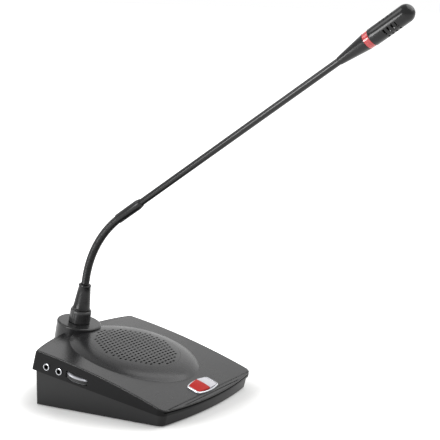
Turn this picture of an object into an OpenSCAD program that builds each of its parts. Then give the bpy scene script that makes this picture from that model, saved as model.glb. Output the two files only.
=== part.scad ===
// Conference microphone: a wedge-shaped desk base with a loudspeaker, two keys, jacks
// and a volume wheel, and a gooseneck that carries a lit microphone head.
// Millimetres. X to the user's right, -Y towards the user, Z up, the floor at Z = 0.

/* [Base] */
// Width of the base across its sides
base_w = 150; // [140:1:180]
// Depth of the base between its rear and front corners
base_d = 132; // [126:1:150]
// Height of the lid at its rear corners
rear_h = 51; // [49:0.5:56]
// Height of the lid at its front corners
front_h = 15.6; // [15:0.2:19]
// Rise of the lid's middle above the line between its corners
lid_crown = 3.5; // [2.5:0.1:4.5]
// How far the rear edge bows out
rear_bow = 11.5; // [9:0.5:14]
// How far the front edge bows out
front_bow = 7; // [5:0.5:9]
// Radius of the rear corners
rear_r = 3; // [2.6:0.1:5]
// Radius of the front corners
front_r = 8; // [6:0.5:11]
// Thickness of the case walls
wall = 2.2; // [1.8:0.1:2.5]
// Thickness of the lid
lid_t = 2.4; // [2:0.1:2.8]
// Width of the case's ledge beside the lid
ledge_w = 1; // [0.7:0.1:1.2]
// Drop of that ledge below the lid's surface
ledge_drop = 1; // [0.6:0.1:1.4]
// Height of the band's lower edge at the middle of the base
band_z = 21.4; // [20:0.2:22.5]
// Slope of the band's lower edge in degrees
band_slope = 9.6; // [8.5:0.1:10.5]
// How far the lower walls stand back from the band at the sides
step_in = 3.5; // [2.8:0.1:4]
// How far the lower rear wall's corners lie behind the lid's
low_back = 3; // [1:0.5:4]
// Play between pieces that are fitted together
seam = 0.1; // [0.05:0.01:0.15]

/* [Floor side] */
// Height of the base plate above the floor
plate_z = 1.8; // [1.6:0.1:2.2]
// Thickness of the steel base plate
plate_t = 1.2; // [1:0.1:1.5]
// Radius of a rubber foot
foot_r = 6; // [4:0.5:6.5]
// Radius of a screw post under the lid
post_r = 4; // [3.5:0.1:4.5]
// Radius of the base screws' shanks
screw_r = 1.25; // [1:0.05:1.5]

/* [Loudspeaker] */
// How far the dome's edge passes the rear corners
dome_back = 1.5; // [0:0.5:3]
// Gap between the dome and the key frame
dome_gap = 6.5; // [5:0.1:8]
// Rise of the dome
dome_rise = 5.1; // [4.5:0.1:6]
// Width of the dome's plain rim
dome_rim = 14.3; // [13.5:0.1:15]
// Width of the grille's plain rim
slot_rim = 2.2; // [2.2:0.1:10]
// Length of a slot
slot_l = 3.2; // [2:0.1:3.6]
// Width of a slot
slot_w = 1.5; // [1:0.1:2]
// Distance between slots along a row
slot_px = 5; // [4.6:0.1:6]
// Distance between rows of slots
slot_py = 3.8; // [3.4:0.1:5]
// Depth of the loudspeaker's basket
basket_depth = 11; // [10:0.5:12]
// Radius of the magnet
magnet_r = 19; // [16:0.5:20]
// Height of the magnet
magnet_h = 6; // [5:0.5:6.5]

/* [Keys] */
// Distance of the keys' middle behind the front corners
key_in = 7; // [6:0.5:8]
// Width of the key frame
key_w = 34; // [32:0.5:37]
// Depth of the key frame at its sides
key_d = 13; // [12.5:0.5:14]
// How far the frame's front and rear edges bow out
key_bow = 2.5; // [2:0.1:3]
// Height of the key tops above the lid
key_h = 3.4; // [3:0.1:3.8]
// Travel of a key
key_travel = 1.2; // [0.8:0.1:1.3]
// Width of the frame's rim
frame_w = 1.3; // [1.2:0.1:2]
// Running gap round the keys
key_gap = 0.3; // [0.25:0.05:0.4]

/* [Left side] */
// Distance of the first jack before the rear corners
jack_in = 12; // [11:0.5:13]
// Distance between the jacks
jack_step = 13.3; // [12:0.1:15]
// Height of the jacks above the band's lower edge
jack_up = 7.05; // [6.8:0.05:8]
// Radius of a jack's bore
jack_bore = 1.8; // [1.7:0.05:1.85]
// Depth of a jack's bore
jack_depth = 14; // [12:0.5:15]
// Distance from the second jack to the volume wheel
wheel_step = 20.7; // [20.5:0.1:23]
// Drop of the wheel's upper face below the lid
wheel_drop = 7.9; // [7.4:0.1:8.2]
// Radius of the wheel
wheel_r = 15; // [14.5:0.1:16]
// Thickness of the wheel
wheel_t = 4.6; // [4:0.1:5]
// How far the wheel stands out of the side
wheel_out = 4.2; // [3.5:0.1:4.5]

/* [Tower] */
// Distance of the tower's middle behind the rear corners
tower_back = 6.4; // [6:0.2:9]
// Rise of the tower's top above the lid
tower_rise = 8; // [7:0.2:10]
// Radius of the tower
tower_r = 20.3; // [19:0.1:20.5]
// Forward lean of the tower and of the gooseneck's foot in degrees
tower_tilt = 11.5; // [10:0.1:13]
// Radius of the lock collar
collar_r = 9.7; // [9.2:0.1:10.5]
// Height of the lock collar
collar_h = 12; // [10:0.5:14]
// Lower radius of the boot
boot_r1 = 8.5; // [8:0.1:9]
// Upper radius of the boot
boot_r2 = 5.8; // [5:0.1:6.2]
// Height of the boot above the collar
boot_h = 24.5; // [20:0.5:28]

/* [Gooseneck] */
// Distance from the boot's top to the first link joint
neck_lead = 11.6; // [8:0.1:16]
// Length of a link between its joints
link_l = 9; // [8.5:0.1:12]
// Radius of the flexible section
neck_r = 3.85; // [3.75:0.05:4.1]
// Radius of the balls between links
ball_r = 3.1; // [2.9:0.05:3.15]
// Radial play of a ball in its socket
ball_gap = 0.25; // [0.2:0.01:0.3]
// Forward lean of the straight tube in degrees
arm_lean = 55.4; // [45:0.1:65]
// Radius of the sleeve
sleeve_r = 4.5; // [4.3:0.05:5]
// Length of the sleeve
sleeve_l = 30.6; // [26:0.2:36]
// Radius of the straight tube
tube_r = 3.15; // [2.9:0.05:3.3]
// Length of the tube between the sleeve and the head
tube_l = 232.5; // [180:0.5:300]

/* [Head] */
// Length of the head cone
cone_l = 29.4; // [22:0.2:36]
// Radius of the head cap
head_r = 7.6; // [7.4:0.1:9]
// Length of the head cap
cap_l = 42; // [40:0.5:50]
// Wall of the head cap
cap_t = 1.2; // [1:0.1:1.4]
// Width of the light ring
ring_w = 5.6; // [4.5:0.1:8]
// How far the light ring stands back from the cap
ring_in = 0.35; // [0.2:0.05:0.5]

/* [Hidden] */
$fn = 64;
fine_fn = 128;
crown_fn = 720;
big = 400;
fit = 0.05;

// Lid: a slope between the corners, and a crowned surface through them
rear_y = base_d / 2;
slope = atan2(rear_h - front_h, base_d);
mid_h = (rear_h + front_h) / 2;
half_v = rear_y / cos(slope);
crown_n = lid_crown * cos(slope);
crown_r = (half_v * half_v + crown_n * crown_n) / (2 * crown_n);
crown_y0 = (crown_r - crown_n) * sin(slope);
crown_z0 = mid_h - (crown_r - crown_n) * cos(slope);
function crown_z(y) = crown_z0 + sqrt(crown_r * crown_r - (y - crown_y0) * (y - crown_y0));
function crown_tilt(y) = -asin((y - crown_y0) / crown_r);

// Lower walls, and the ledge inside them that the base plate is screwed up against
low_hw = base_w / 2 - step_in;
low_rear = rear_y + low_back;
low_front = half_v - 0.4;
low_bow = rear_bow - 1;
low_front_r = front_r - 2;
floor_gap = 1;
plate_top = plate_z + plate_t;
plate_gap = 0.3;
plate_ledge = 1.6;

// Screw posts and feet
screw_head_r = 2.8;
screw_head_h = 1.2;
pilot_l = 12;
post_gap = 0.8;
jack_back = 1.5;
post_x = base_w / 2 - jack_depth - jack_back - post_r - post_gap;
post_rear = rear_y - 8;
post_front = 26 - rear_y;
foot_x = low_hw - wall - foot_r - 1;
foot_rear = rear_y - 20;
foot_front = 16 - rear_y;
foot_edge = 0.6;

// Main board
board_z = plate_top + 4;
board_t = 1.6;
board_hw = post_x - post_r - 4.5;
board_front = -21;
board_rear = post_rear - 2;
board_in = 5;
standoff_r = 2.5;
board_screw_r = 0.95;
chip = [12, 9, 1.6];
can_r = 4;
can_h = 9;
can_in = board_in + 9;
can_step = 2 * can_r + 2;
plug = [16, 6, 7];
plug_t = 1;
pin_head_r = 2;
pin_head_h = 1.3;
pin_l = 3;

// Loudspeaker stack below the dome, measured from the lid's surface
key_y = key_in - rear_y;
dome_r = (rear_y + dome_back - key_y - key_d / 2 - key_bow - dome_gap) / 2;
dome_y = rear_y + dome_back - dome_r;
grille_r = dome_r - dome_rim;
slot_zone = grille_r - slot_rim;
dome_foot = 0.4;
dome_t = 2.2;
foot_run = 3;
grille_t = 1.8;
flange_t = 1.5;
flange_w = 3;
gasket_t = 1.5;
basket_t = 1.2;
function dome_z(r) = dome_foot + dome_rise * (1 - pow(r / dome_r, 5));
flange_r = grille_r + flange_w;
flange_z = dome_z(flange_r) - dome_t - seam - flange_t;
basket_z = flange_z - gasket_t;
basket_low = basket_z - basket_t;
mouth_r = slot_zone - 1.5;
roll_r = mouth_r - 4.5;
cone_r = roll_r - 3;
cone_t = 0.8;
cone_depth = 6.8;
shell_t = 1.4;
window_w = 10;
window_in = 2.5;
ear_r = 4;
ear_at = dome_r - 7;
speaker_screw_r = 1;
speaker_pilot = dome_z(ear_at) - dome_t / 2 - basket_z;
magnet_top = basket_low - basket_depth;
coil_r = 10;

// Keys, measured from the lid's surface at the keys
key_corner = 3;
crown_ball = 60;
frame_rise = 1.6;
sleeve_in = 0.6;
frame_low = lid_t + 0.2;
key_stop = frame_low + 0.2;
key_flange_t = 1.2;
plunger_r = 2;
plunger_low = key_stop + key_flange_t + 1;
switch_top = plunger_low + key_travel + 0.1;
switch_h = 2.1;
switch_w = 6;
button_h = 0.4;
key_board_top = switch_top + switch_h;
key_board_t = 1;
key_board_d = 14;
key_post_x = key_w / 2 + 3.5;
key_post_r = 2.5;
key_screw_r = 0.8;
key_screw_l = 4;
key_head_r = 1.7;
key_head_h = 1;
button_r = 1.6;
key_mid_x = key_w / 4;

// Left side
side_x = -base_w / 2;
jack_1_y = rear_y - jack_in;
jack_2_y = jack_1_y - jack_step;
wheel_y = jack_2_y - wheel_step;
function jack_z(y) = band_z + y * tan(band_slope) + jack_up;
jack_r = 2.3;
jack_ring_r = 3.1;
jack_ring_t = 1.2;
jack_body_w = 5.6;
wheel_x = side_x - wheel_out + wheel_r;
wheel_low = wheel_drop + wheel_t;
wheel_play = 0.4;
wheel_edge = 0.6;
wheel_notch = 0.4;
shaft_r = 1.5;
pot_r = 4.4;
pot_h = 5.5;
pot_top = wheel_low + wheel_play;
bracket_t = 2.4;

// Rear socket
socket_z = 18;
socket_r = 8;
socket_t = 1;
socket_l = 14;
socket_pad = 0.5;
socket_y = low_rear + low_bow + socket_pad;
socket_flange_r = 10;
socket_flange_t = 1.2;
pin_r = 0.7;
pin_circle = 4.5;
insert_t = 5;

// Tower
tower_y = rear_y + tower_back;
tower_top = [0, tower_y, crown_z(tower_y) + tower_rise];
tower_top_t = 3;
tower_rim = 1.5;
bush_r = 5.8;
bush_low = 12;
bush_up = collar_h - 2;
nut_r = 9;
nut_t = 4;
boot_top = collar_h + boot_h;
root_low = 6;

// Gooseneck: the lean grows by the same step at each of its joints
neck_n = 8;
neck_start = boot_top + neck_lead;
lean_step = (arm_lean - tower_tilt) / neck_n;
function lean(i) = tower_tilt + lean_step * i;
function along(a, l) = [0, -sin(a) * l, cos(a) * l];
function joint_at(i) = i == 0 ? tower_top + along(tower_tilt, neck_start)
                              : joint_at(i - 1) + along(lean(i), link_l);
shoulder = 0.8;

// Arm and head, measured from the last joint along the tube
sleeve_end = shoulder + sleeve_l;
sleeve_taper = 5;
tube_start = 8;
tube_end = sleeve_end + tube_l;
tube_bore = tube_r - 0.7;
ring_z = tube_end + cone_l;
cap_z = ring_z + ring_w;
dome_end = cap_z + cap_l - head_r;
ring_r = head_r - ring_in;
head_in = head_r - cap_t;
spigot_r = head_in - fit;
spigot_t = 1.2;
spigot_l = 3;
light_board_t = 1.2;
lamp = [1.6, 1.6, 0.8];
cap_slot_w = 1.5;
cap_slot_step = 4;
cap_slot_z = 13;
// Angle and length of each row of slots, from the top of the cap round
cap_rows = [[0, 11], [120, 4.8], [180, 6], [240, 4.8]];
capsule_r = 4.8;
capsule_h = 6;
holder_h = 9;
holder_t = 2;
holder_z = dome_end - holder_h;

// Points of an arc, without its last one
function arc(c, r, a0, a1, n) =
    [for (i = [0 : n - 1])
        let (a = a0 + (a1 - a0) * i / n)
        c + r * [cos(a), sin(a)]];

// Radius of an edge that bows out by b over the half width h
function bow_radius(b, h) = (h * h + b * b) / (2 * b);

// Outline with straight sides, bowed rear and front edges and round corners, drawn in by inset
function outline(hw, rear, front, rear_bow, front_bow, rear_r, front_r, inset) =
    let (rr = bow_radius(rear_bow, hw),
         rf = bow_radius(front_bow, hw),
         cr = rear + rear_bow - rr,
         cf = rf - front - front_bow,
         xr = hw - rear_r,
         xf = hw - front_r,
         ar = asin(xr / (rr - rear_r)),
         af = asin(xf / (rf - front_r)),
         yr = cr + (rr - rear_r) * cos(ar),
         yf = cf - (rf - front_r) * cos(af),
         kr = max(rear_r - inset, 0.2),
         kf = max(front_r - inset, 0.2))
    concat(arc([0, cr], rr - inset, 90 - ar, 90 + ar, 24),
           arc([-xr, yr], kr, 90 + ar, 180, 5),
           arc([-xf, yf], kf, 180, 270 - af, 8),
           arc([0, cf], rf - inset, 270 - af, 270 + af, 24),
           arc([xf, yf], kf, 270 + af, 360, 8),
           arc([xr, yr], kr, 0, 90 - ar, 5));

// Places: the line between the lid's corners, a point on the lid, the tower, a joint
module on_chord()
    translate([0, 0, mid_h]) rotate([slope, 0, 0]) children();
module on_lid(y)
    translate([0, y, crown_z(y)]) rotate([crown_tilt(y), 0, 0]) children();
module on_tower()
    translate(tower_top) rotate([tower_tilt, 0, 0]) children();
module on_joint(i)
    translate(joint_at(i)) rotate([lean(i + 1), 0, 0]) children();
module on_arm()
    on_joint(neck_n - 1) children();
// A jack's place on the side wall, Z pointing inwards, and the socket's, Z pointing outwards
module on_jack(y)
    translate([side_x, y, jack_z(y)]) rotate([0, 90, 0]) children();
module on_socket()
    translate([0, socket_y, socket_z]) rotate([-90, 0, 0]) children();

// Places that repeat
module at_posts()
    for (x = [-post_x, post_x], y = [post_rear, post_front])
        translate([x, y, 0]) children();
module at_ears()
    for (a = [45 : 90 : 315])
        rotate([0, 0, a]) translate([ear_at, 0, 0]) children();
module at_key_posts()
    for (x = [-key_post_x, key_post_x])
        translate([x, 0, 0]) children();
module at_board_corners()
    for (x = [board_in - board_hw, board_hw - board_in])
        for (y = [board_front + board_in, board_rear - board_in])
            translate([x, y, 0]) children();
module at_pins()
    for (i = [0 : 7])
        rotate([0, 0, 45 * i + 22.5]) translate([pin_circle, 0, 0]) children();

// Spaces: below the lid's surface, below the band's lower edge, and above the floor
module below_lid(drop)
    translate([0, crown_y0, crown_z0]) rotate([0, 90, 0])
        cylinder(r = crown_r - drop, h = big, center = true, $fn = crown_fn);
module below_band(rise)
    translate([0, 0, band_z + rise]) rotate([band_slope, 0, 0])
        translate([-big / 2, -big / 2, -big]) cube(big);
module layer(z, h)
    translate([-big / 2, -big / 2, z]) cube([big, big, h]);

// Walls that stand square on the lid: the band, and the lid's own outline
module chord_prism(points)
    on_chord() translate([0, 0, -base_d]) linear_extrude(2 * base_d) polygon(points);
module band_prism(inset)
    chord_prism(outline(base_w / 2, half_v, half_v, rear_bow, front_bow, rear_r, front_r, inset));
module lid_prism(gap, proud)
    chord_prism(outline(base_w / 2 - ledge_w - gap, half_v + proud, half_v + proud,
                        rear_bow, front_bow, rear_r, front_r - ledge_w, 0));
// Lower walls: upright at the sides and the rear, leaning with the band at the front
module low_prism(inset)
    intersection() {
        linear_extrude(base_d)
            polygon(outline(low_hw, low_rear, base_d, low_bow, front_bow, rear_r, low_front_r, inset));
        chord_prism(outline(low_hw, base_d, low_front, rear_bow, front_bow, rear_r, low_front_r, inset));
    }
// Tower from its top down to the band's lower edge
module tower_body(r, drop, rim, floor_t)
    difference() {
        on_tower() translate([0, 0, -drop]) rotate_extrude($fn = fine_fn)
            polygon(concat([[0, -rear_y], [r, -rear_y]],
                           arc([r - rim, -rim], rim, 0, 90, 6),
                           [[r - rim, 0], [0, 0]]));
        below_band(floor_t);
    }
module under_dome(r, top)
    on_lid(dome_y) translate([0, 0, top - base_d]) cylinder(r = r, h = base_d, $fn = fine_fn);

// Lid with the dome's shoulder, the tower, and the posts that the other pieces are screwed to
module top_cover()
    color("#2e2e30")
    difference() {
        union() {
            difference() {
                union() {
                    lid_plate();
                    dome_body();
                    tower_body(tower_r, 0, tower_rim, 0);
                }
                intersection() {
                    band_prism(wall);
                    below_lid(lid_t);
                }
                dome_hollow();
                tower_body(tower_r - wall, tower_top_t, tower_rim / 2, wall);
            }
            lid_posts();
        }
        on_tower() translate([0, 0, -2 * tower_top_t])
            cylinder(r = bush_r + seam, h = 3 * tower_top_t);
        under_dome(grille_r + seam, base_d / 2);
        on_lid(key_y) translate([0, 0, -lid_t - 1])
            linear_extrude(lid_t + 2) key_outline(sleeve_in - seam);
        at_posts() cylinder(r = screw_r + fit, h = plate_top + pilot_l);
        on_lid(dome_y) at_ears() translate([0, 0, basket_z - 1])
            cylinder(r = speaker_screw_r + fit, h = speaker_pilot + 1);
        on_lid(key_y) at_key_posts() translate([0, 0, -key_board_top - 1])
            cylinder(r = key_screw_r + fit, h = key_board_top - lid_t + 1);
    }
module lid_plate()
    difference() {
        intersection() {
            lid_prism(seam, 0);
            below_lid(0);
        }
        below_lid(lid_t);
    }
// Dome with a sloping foot that runs into the lid, and the hollow under it
function dome_curve(r1, drop) =
    let (n = 14)
    [for (i = [n : -1 : 0]) let (r = r1 * sqrt(i / n)) [r, dome_z(r) - drop]];
module dome_body()
    on_lid(dome_y) rotate_extrude($fn = fine_fn)
        polygon(concat([[0, -foot_run], [dome_r + foot_run, -foot_run]], dome_curve(dome_r, 0)));
module dome_hollow()
    let (r = dome_r - dome_t)
    on_lid(dome_y) rotate_extrude($fn = fine_fn)
        polygon(concat([[0, -rear_h], [r, -rear_h]], dome_curve(r, dome_t)));
module lid_posts() {
    intersection() {
        at_posts() translate([0, 0, plate_top + seam]) cylinder(r = post_r, h = rear_h);
        below_lid(lid_t / 2);
    }
    on_lid(dome_y) at_ears() translate([0, 0, basket_z])
        cylinder(r = ear_r - 0.5, h = dome_z(ear_at) - dome_t / 2 - basket_z);
    on_lid(key_y) at_key_posts() translate([0, 0, -key_board_top])
        cylinder(r = key_post_r, h = key_board_top - lid_t / 2);
}

// Grille: a shallow dome with rows of slots, and a flange that sits under the lid's shoulder
module speaker_grille()
    color("#2e2e30") on_lid(dome_y)
    difference() {
        rotate_extrude($fn = fine_fn)
            polygon(concat(grille_curve(slot_zone + 1, grille_t, 0, 1),
                           [[slot_zone + 1, flange_z], [flange_r, flange_z],
                            [flange_r, flange_z + flange_t], [grille_r, flange_z + flange_t]],
                           grille_curve(grille_r, 0, 1, 0)));
        for (row = [-floor(slot_zone / slot_py) : floor(slot_zone / slot_py)])
            slot_row(row * slot_py, row % 2 == 0 ? 0 : slot_px / 2);
    }
function grille_curve(r1, drop, from, to) =
    let (n = 6)
    [for (i = [n * from : to - from : n * to]) let (r = r1 * sqrt(i / n)) [r, dome_z(r) - drop]];
// One row of slots across the grille, as many as its width has room for
module slot_row(y, shift) {
    room = sqrt(max(0, slot_zone * slot_zone - y * y)) - slot_l;
    n = floor((room - shift) / slot_px);
    if (n > 0)
        for (i = [-n - (shift > 0 ? 1 : 0) : n])
            translate([shift + i * slot_px - slot_l / 2, y - slot_w / 2, 0])
                cube([slot_l, slot_w, 2 * (dome_foot + dome_rise)]);
}

// Case: the band under the lid, the lower walls set back below it, and the places cut into them
module case_body()
    color("#242426")
    difference() {
        union() {
            difference() {
                union() {
                    difference() {
                        intersection() {
                            band_prism(0);
                            below_lid(ledge_drop);
                        }
                        below_band(0);
                    }
                    intersection() {
                        low_prism(0);
                        below_band(wall / 2);
                        below_lid(lid_t + 1);
                        layer(floor_gap, big);
                    }
                    socket_boss();
                }
                difference() {
                    band_prism(wall);
                    below_band(wall);
                }
                low_prism(wall);
            }
            plate_ledge_ring();
            pot_bracket();
        }
        difference() {
            lid_prism(0, 0.5);
            below_lid(lid_t + seam);
        }
        difference() {
            on_tower() translate([0, 0, -rear_y])
                cylinder(r = tower_r + 2 * seam, h = base_d, $fn = fine_fn);
            below_band(-seam);
        }
        for (y = [jack_1_y, jack_2_y])
            on_jack(y) translate([0, 0, -1]) cylinder(r = jack_r + seam, h = wall + 2);
        on_lid(wheel_y) translate([wheel_x, 0, -wheel_low - wheel_play])
            cylinder(r = wheel_r + 2 * wheel_play, h = wheel_t + 2 * wheel_play, $fn = fine_fn);
        on_socket() translate([0, 0, -socket_l]) cylinder(r = socket_r + seam, h = 2 * socket_l);
    }
module socket_boss()
    let (s = 2 * socket_flange_r + 2)
    translate([-s / 2, socket_y - wall - socket_pad, socket_z - s / 2]) cube([s, wall + socket_pad, s]);
module plate_ledge_ring()
    difference() {
        intersection() {
            low_prism(wall / 2);
            layer(plate_top + seam, plate_ledge);
        }
        low_prism(wall + plate_ledge);
    }
// Bracket inside the left wall that carries the potentiometer
module pot_bracket()
    intersection() {
        on_lid(wheel_y) translate([-low_hw, -pot_r - 1, -pot_top - pot_h - bracket_t])
            cube([wheel_x + pot_r + 1 + low_hw, 2 * pot_r + 2, bracket_t]);
        low_prism(wall / 2);
    }

// Floor side

module base_plate()
    color("#8a8c90")
    difference() {
        union() {
            intersection() {
                low_prism(wall + plate_gap);
                layer(plate_z, plate_t);
            }
            at_board_corners() translate([0, 0, plate_z]) cylinder(r = standoff_r, h = board_z - plate_z);
        }
        at_posts() cylinder(r = screw_r + plate_gap, h = plate_top + 1);
        at_board_corners() translate([0, 0, plate_top]) cylinder(r = board_screw_r + fit, h = board_z);
    }
module rubber_feet()
    color("#1c1c1d")
    for (x = [-foot_x, foot_x], y = [foot_rear, foot_front])
        translate([x, y, 0]) rotate_extrude()
            polygon([[0, 0], [foot_r - foot_edge, 0], [foot_r, foot_edge],
                     [foot_r, plate_z], [0, plate_z]]);
module base_screws()
    color("#b8bac0")
    at_posts() union() {
        translate([0, 0, plate_z - screw_head_h]) difference() {
            cylinder(r = screw_head_r, h = screw_head_h);
            for (a = [0, 90])
                rotate([0, 0, a]) cube([1.2 * screw_head_r, 0.6, screw_head_h], center = true);
        }
        translate([0, 0, plate_z - fit]) cylinder(r = screw_r, h = plate_t + pilot_l - 1);
    }

// Main board

module main_board()
    color("#1e5a38")
    difference() {
        translate([-board_hw, board_front, board_z])
            cube([2 * board_hw, board_rear - board_front, board_t]);
        at_board_corners() translate([0, 0, board_z - 1])
            cylinder(r = board_screw_r + plate_gap, h = board_t + 2);
    }
module board_screws()
    color("#b8bac0")
    at_board_corners() union() {
        translate([0, 0, board_z + board_t]) cylinder(r = pin_head_r, h = pin_head_h);
        translate([0, 0, board_z - pin_l]) cylinder(r = board_screw_r, h = board_t + pin_l + fit);
    }
// A place on the board, as shares of its half width and of its depth
module on_board(x, y)
    translate([x * board_hw, board_front + y * (board_rear - board_front), board_z + board_t]) children();
// One chip, smaller than the largest by its share
module chip_at(x, y, share)
    on_board(x, y) cube([chip.x * share, chip.y * share, chip.z]);
module board_chips()
    color("#222224") {
        chip_at(-0.52, 0.66, 1);
        chip_at(0.04, 0.7, 0.75);
        chip_at(0.52, 0.61, 0.8);
        chip_at(-0.56, 0.32, 0.6);
        chip_at(0.48, 0.22, 0.5);
    }
module board_capacitors()
    color("#30343c")
    for (side = [-1, 1], i = [0, 1])
        translate([side * (board_hw - can_in - i * can_step), 0, 0])
            on_board(0, 1) translate([0, -can_r - 1, 0]) cylinder(r = can_r, h = can_h);
module board_connector()
    color("#d8d2c0") on_board(0, 1) translate([-plug.x / 2, -plug.y - 1, 0])
    difference() {
        cube(plug);
        translate([plug_t, plug_t, 1.5 * plug_t])
            cube([plug.x - 2 * plug_t, plug.y - 2 * plug_t, plug.z]);
    }

// Loudspeaker, hung from the lid's posts by the ears of its basket

module speaker_gasket()
    color("#2a2a2a") on_lid(dome_y) translate([0, 0, basket_z])
    difference() {
        cylinder(r = flange_r, h = gasket_t);
        translate([0, 0, -1]) cylinder(r = slot_zone + 1, h = gasket_t + 2);
    }
module speaker_basket()
    color("#4a4c50") on_lid(dome_y)
    difference() {
        union() {
            rotate_extrude()
                polygon([[coil_r + 1, magnet_top], [magnet_r + shell_t, magnet_top],
                         [mouth_r + shell_t, basket_low], [flange_r, basket_low], [flange_r, basket_z],
                         [mouth_r, basket_z], [mouth_r, basket_low], [magnet_r, magnet_top + shell_t],
                         [coil_r + 1, magnet_top + shell_t]]);
            for (a = [45 : 90 : 315])
                rotate([0, 0, a]) translate([flange_r - flange_w, -ear_r / 2, basket_low + basket_t / 4])
                    cube([ear_at - flange_r + flange_w, ear_r, basket_t / 2]);
            at_ears() translate([0, 0, basket_low]) cylinder(r = ear_r, h = basket_t);
        }
        at_ears() translate([0, 0, basket_low - 1])
            cylinder(r = speaker_screw_r + plate_gap, h = basket_t + 2);
        for (a = [22.5 : 45 : 337.5])
            rotate([0, 0, a]) translate([magnet_r, -window_w / 2, magnet_top + window_in])
                cube([mouth_r, window_w, basket_depth - 2 * window_in]);
    }
// Cone with its cap, its surround and its coil
module speaker_cone()
    let (r = mouth_r - fit, z = basket_low + 1, low = basket_low - cone_depth, wire = coil_r + cone_t / 2)
    color("#1a1a1a") on_lid(dome_y) rotate_extrude()
        polygon([[0, low], [coil_r, low], [cone_r, z - cone_t], [roll_r, z + cone_t / 4], [r, z],
                 [r, z - cone_t], [roll_r, z - 3 * cone_t / 4], [cone_r, z - 2 * cone_t],
                 [wire, low - cone_t], [wire, magnet_top], [coil_r - cone_t / 2, magnet_top],
                 [coil_r - cone_t / 2, low - cone_t], [0, low - cone_t]]);
module speaker_magnet()
    color("#55585c") on_lid(dome_y) translate([0, 0, magnet_top - magnet_h])
    difference() {
        cylinder(r = magnet_r, h = magnet_h);
        translate([0, 0, -1]) cylinder(r = 3, h = magnet_h);
    }
module speaker_screws()
    color("#b8bac0") on_lid(dome_y) at_ears() translate([0, 0, basket_low])
    union() {
        translate([0, 0, -1.4]) cylinder(r = 2.4, h = 1.4);
        translate([0, 0, -fit]) cylinder(r = speaker_screw_r, h = basket_t + speaker_pilot - 0.3);
    }

// Left side

module jack(y)
    on_jack(y)
    difference() {
        union() {
            translate([0, 0, -jack_ring_t]) cylinder(r = jack_r, h = jack_ring_t + wall + 1);
            translate([-jack_body_w / 2, -jack_body_w / 2, wall + fit])
                cube([jack_body_w, jack_body_w, jack_depth + jack_back - jack_ring_t - wall - fit]);
        }
        translate([0, 0, -jack_ring_t - 1]) cylinder(r = jack_bore, h = jack_depth + 1);
    }
module headphone_jack()
    color("#1b1b1c") jack(jack_1_y);
module line_jack()
    color("#1b1b1c") jack(jack_2_y);
module jack_rings()
    color("#c8cacf")
    for (y = [jack_1_y, jack_2_y])
        on_jack(y) translate([0, 0, -jack_ring_t]) rotate_extrude()
            polygon([[jack_r + fit, 0], [jack_ring_r - 0.4, 0], [jack_ring_r, 0.4],
                     [jack_ring_r, jack_ring_t], [jack_r + fit, jack_ring_t]]);
module volume_pot()
    color("#3c4048") on_lid(wheel_y) translate([wheel_x, 0, -pot_top])
    union() {
        translate([0, 0, -pot_h]) cylinder(r = pot_r, h = pot_h);
        translate([0, 0, -fit]) cylinder(r = shaft_r, h = wheel_t - 1);
    }
module volume_wheel()
    color("#2c2c30") on_lid(wheel_y) translate([wheel_x, 0, -wheel_low])
    difference() {
        rotate_extrude($fn = fine_fn)
            polygon([[0, 0], [wheel_r - wheel_edge, 0], [wheel_r, wheel_edge],
                     [wheel_r, wheel_t - wheel_edge], [wheel_r - wheel_edge, wheel_t], [0, wheel_t]]);
        translate([0, 0, -1]) cylinder(r = shaft_r + fit, h = wheel_t);
        for (a = [0 : 12 : 359])
            rotate([0, 0, a]) translate([wheel_r - wheel_notch, -wheel_notch, -1])
                cube([2, 2 * wheel_notch, wheel_t + 2]);
    }

// Keys

module key_outline(inset)
    polygon(outline(key_w / 2, key_d / 2, key_d / 2, key_bow, key_bow, key_corner, key_corner, inset));
module key_frame()
    color("#c9c9ce") on_lid(key_y)
    difference() {
        union() {
            linear_extrude(frame_rise) key_outline(0);
            translate([0, 0, -frame_low]) linear_extrude(frame_low + fit) key_outline(sleeve_in);
        }
        translate([0, 0, -frame_low - 1]) linear_extrude(frame_low + frame_rise + 2) key_outline(frame_w);
    }
// One key: a crowned cap, a flange that stops it under the frame, and a plunger
module key(side)
    on_lid(key_y)
    union() {
        intersection() {
            translate([0, 0, -key_stop - key_flange_t]) union() {
                linear_extrude(key_stop + key_flange_t + key_h) key_outline(frame_w + key_gap);
                linear_extrude(key_flange_t) key_outline(sleeve_in + fit);
            }
            translate([0, 0, key_h - crown_ball]) sphere(r = crown_ball, $fn = 160);
            translate([side > 0 ? key_gap / 2 : -key_w - key_gap / 2, -key_w, -key_w])
                cube([key_w, 2 * key_w, 2 * key_w]);
        }
        translate([side * key_mid_x, 0, -plunger_low]) cylinder(r = plunger_r, h = plunger_low - key_stop);
    }
module red_key()
    color("#d0352b") key(-1);
module silver_key()
    color("#c4c3ca") key(1);
module key_board()
    color("#1e5a38") on_lid(key_y) translate([0, 0, -key_board_top - key_board_t])
    difference() {
        translate([-key_post_x - 3, -key_board_d / 2, 0])
            cube([2 * key_post_x + 6, key_board_d, key_board_t]);
        at_key_posts() translate([0, 0, -1]) cylinder(r = key_screw_r + plate_gap, h = key_board_t + 2);
    }
module key_switches()
    color("#2a2a2c") on_lid(key_y)
    for (x = [-key_mid_x, key_mid_x])
        translate([x, 0, -key_board_top]) union() {
            translate([-switch_w / 2, -switch_w / 2, 0]) cube([switch_w, switch_w, switch_h - button_h]);
            cylinder(r = button_r, h = switch_h);
        }
module key_board_screws()
    color("#b8bac0") on_lid(key_y) at_key_posts() translate([0, 0, -key_board_top - key_board_t])
    union() {
        translate([0, 0, -key_head_h]) cylinder(r = key_head_r, h = key_head_h);
        translate([0, 0, -fit]) cylinder(r = key_screw_r, h = key_board_t + key_screw_l);
    }

// Rear socket

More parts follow.
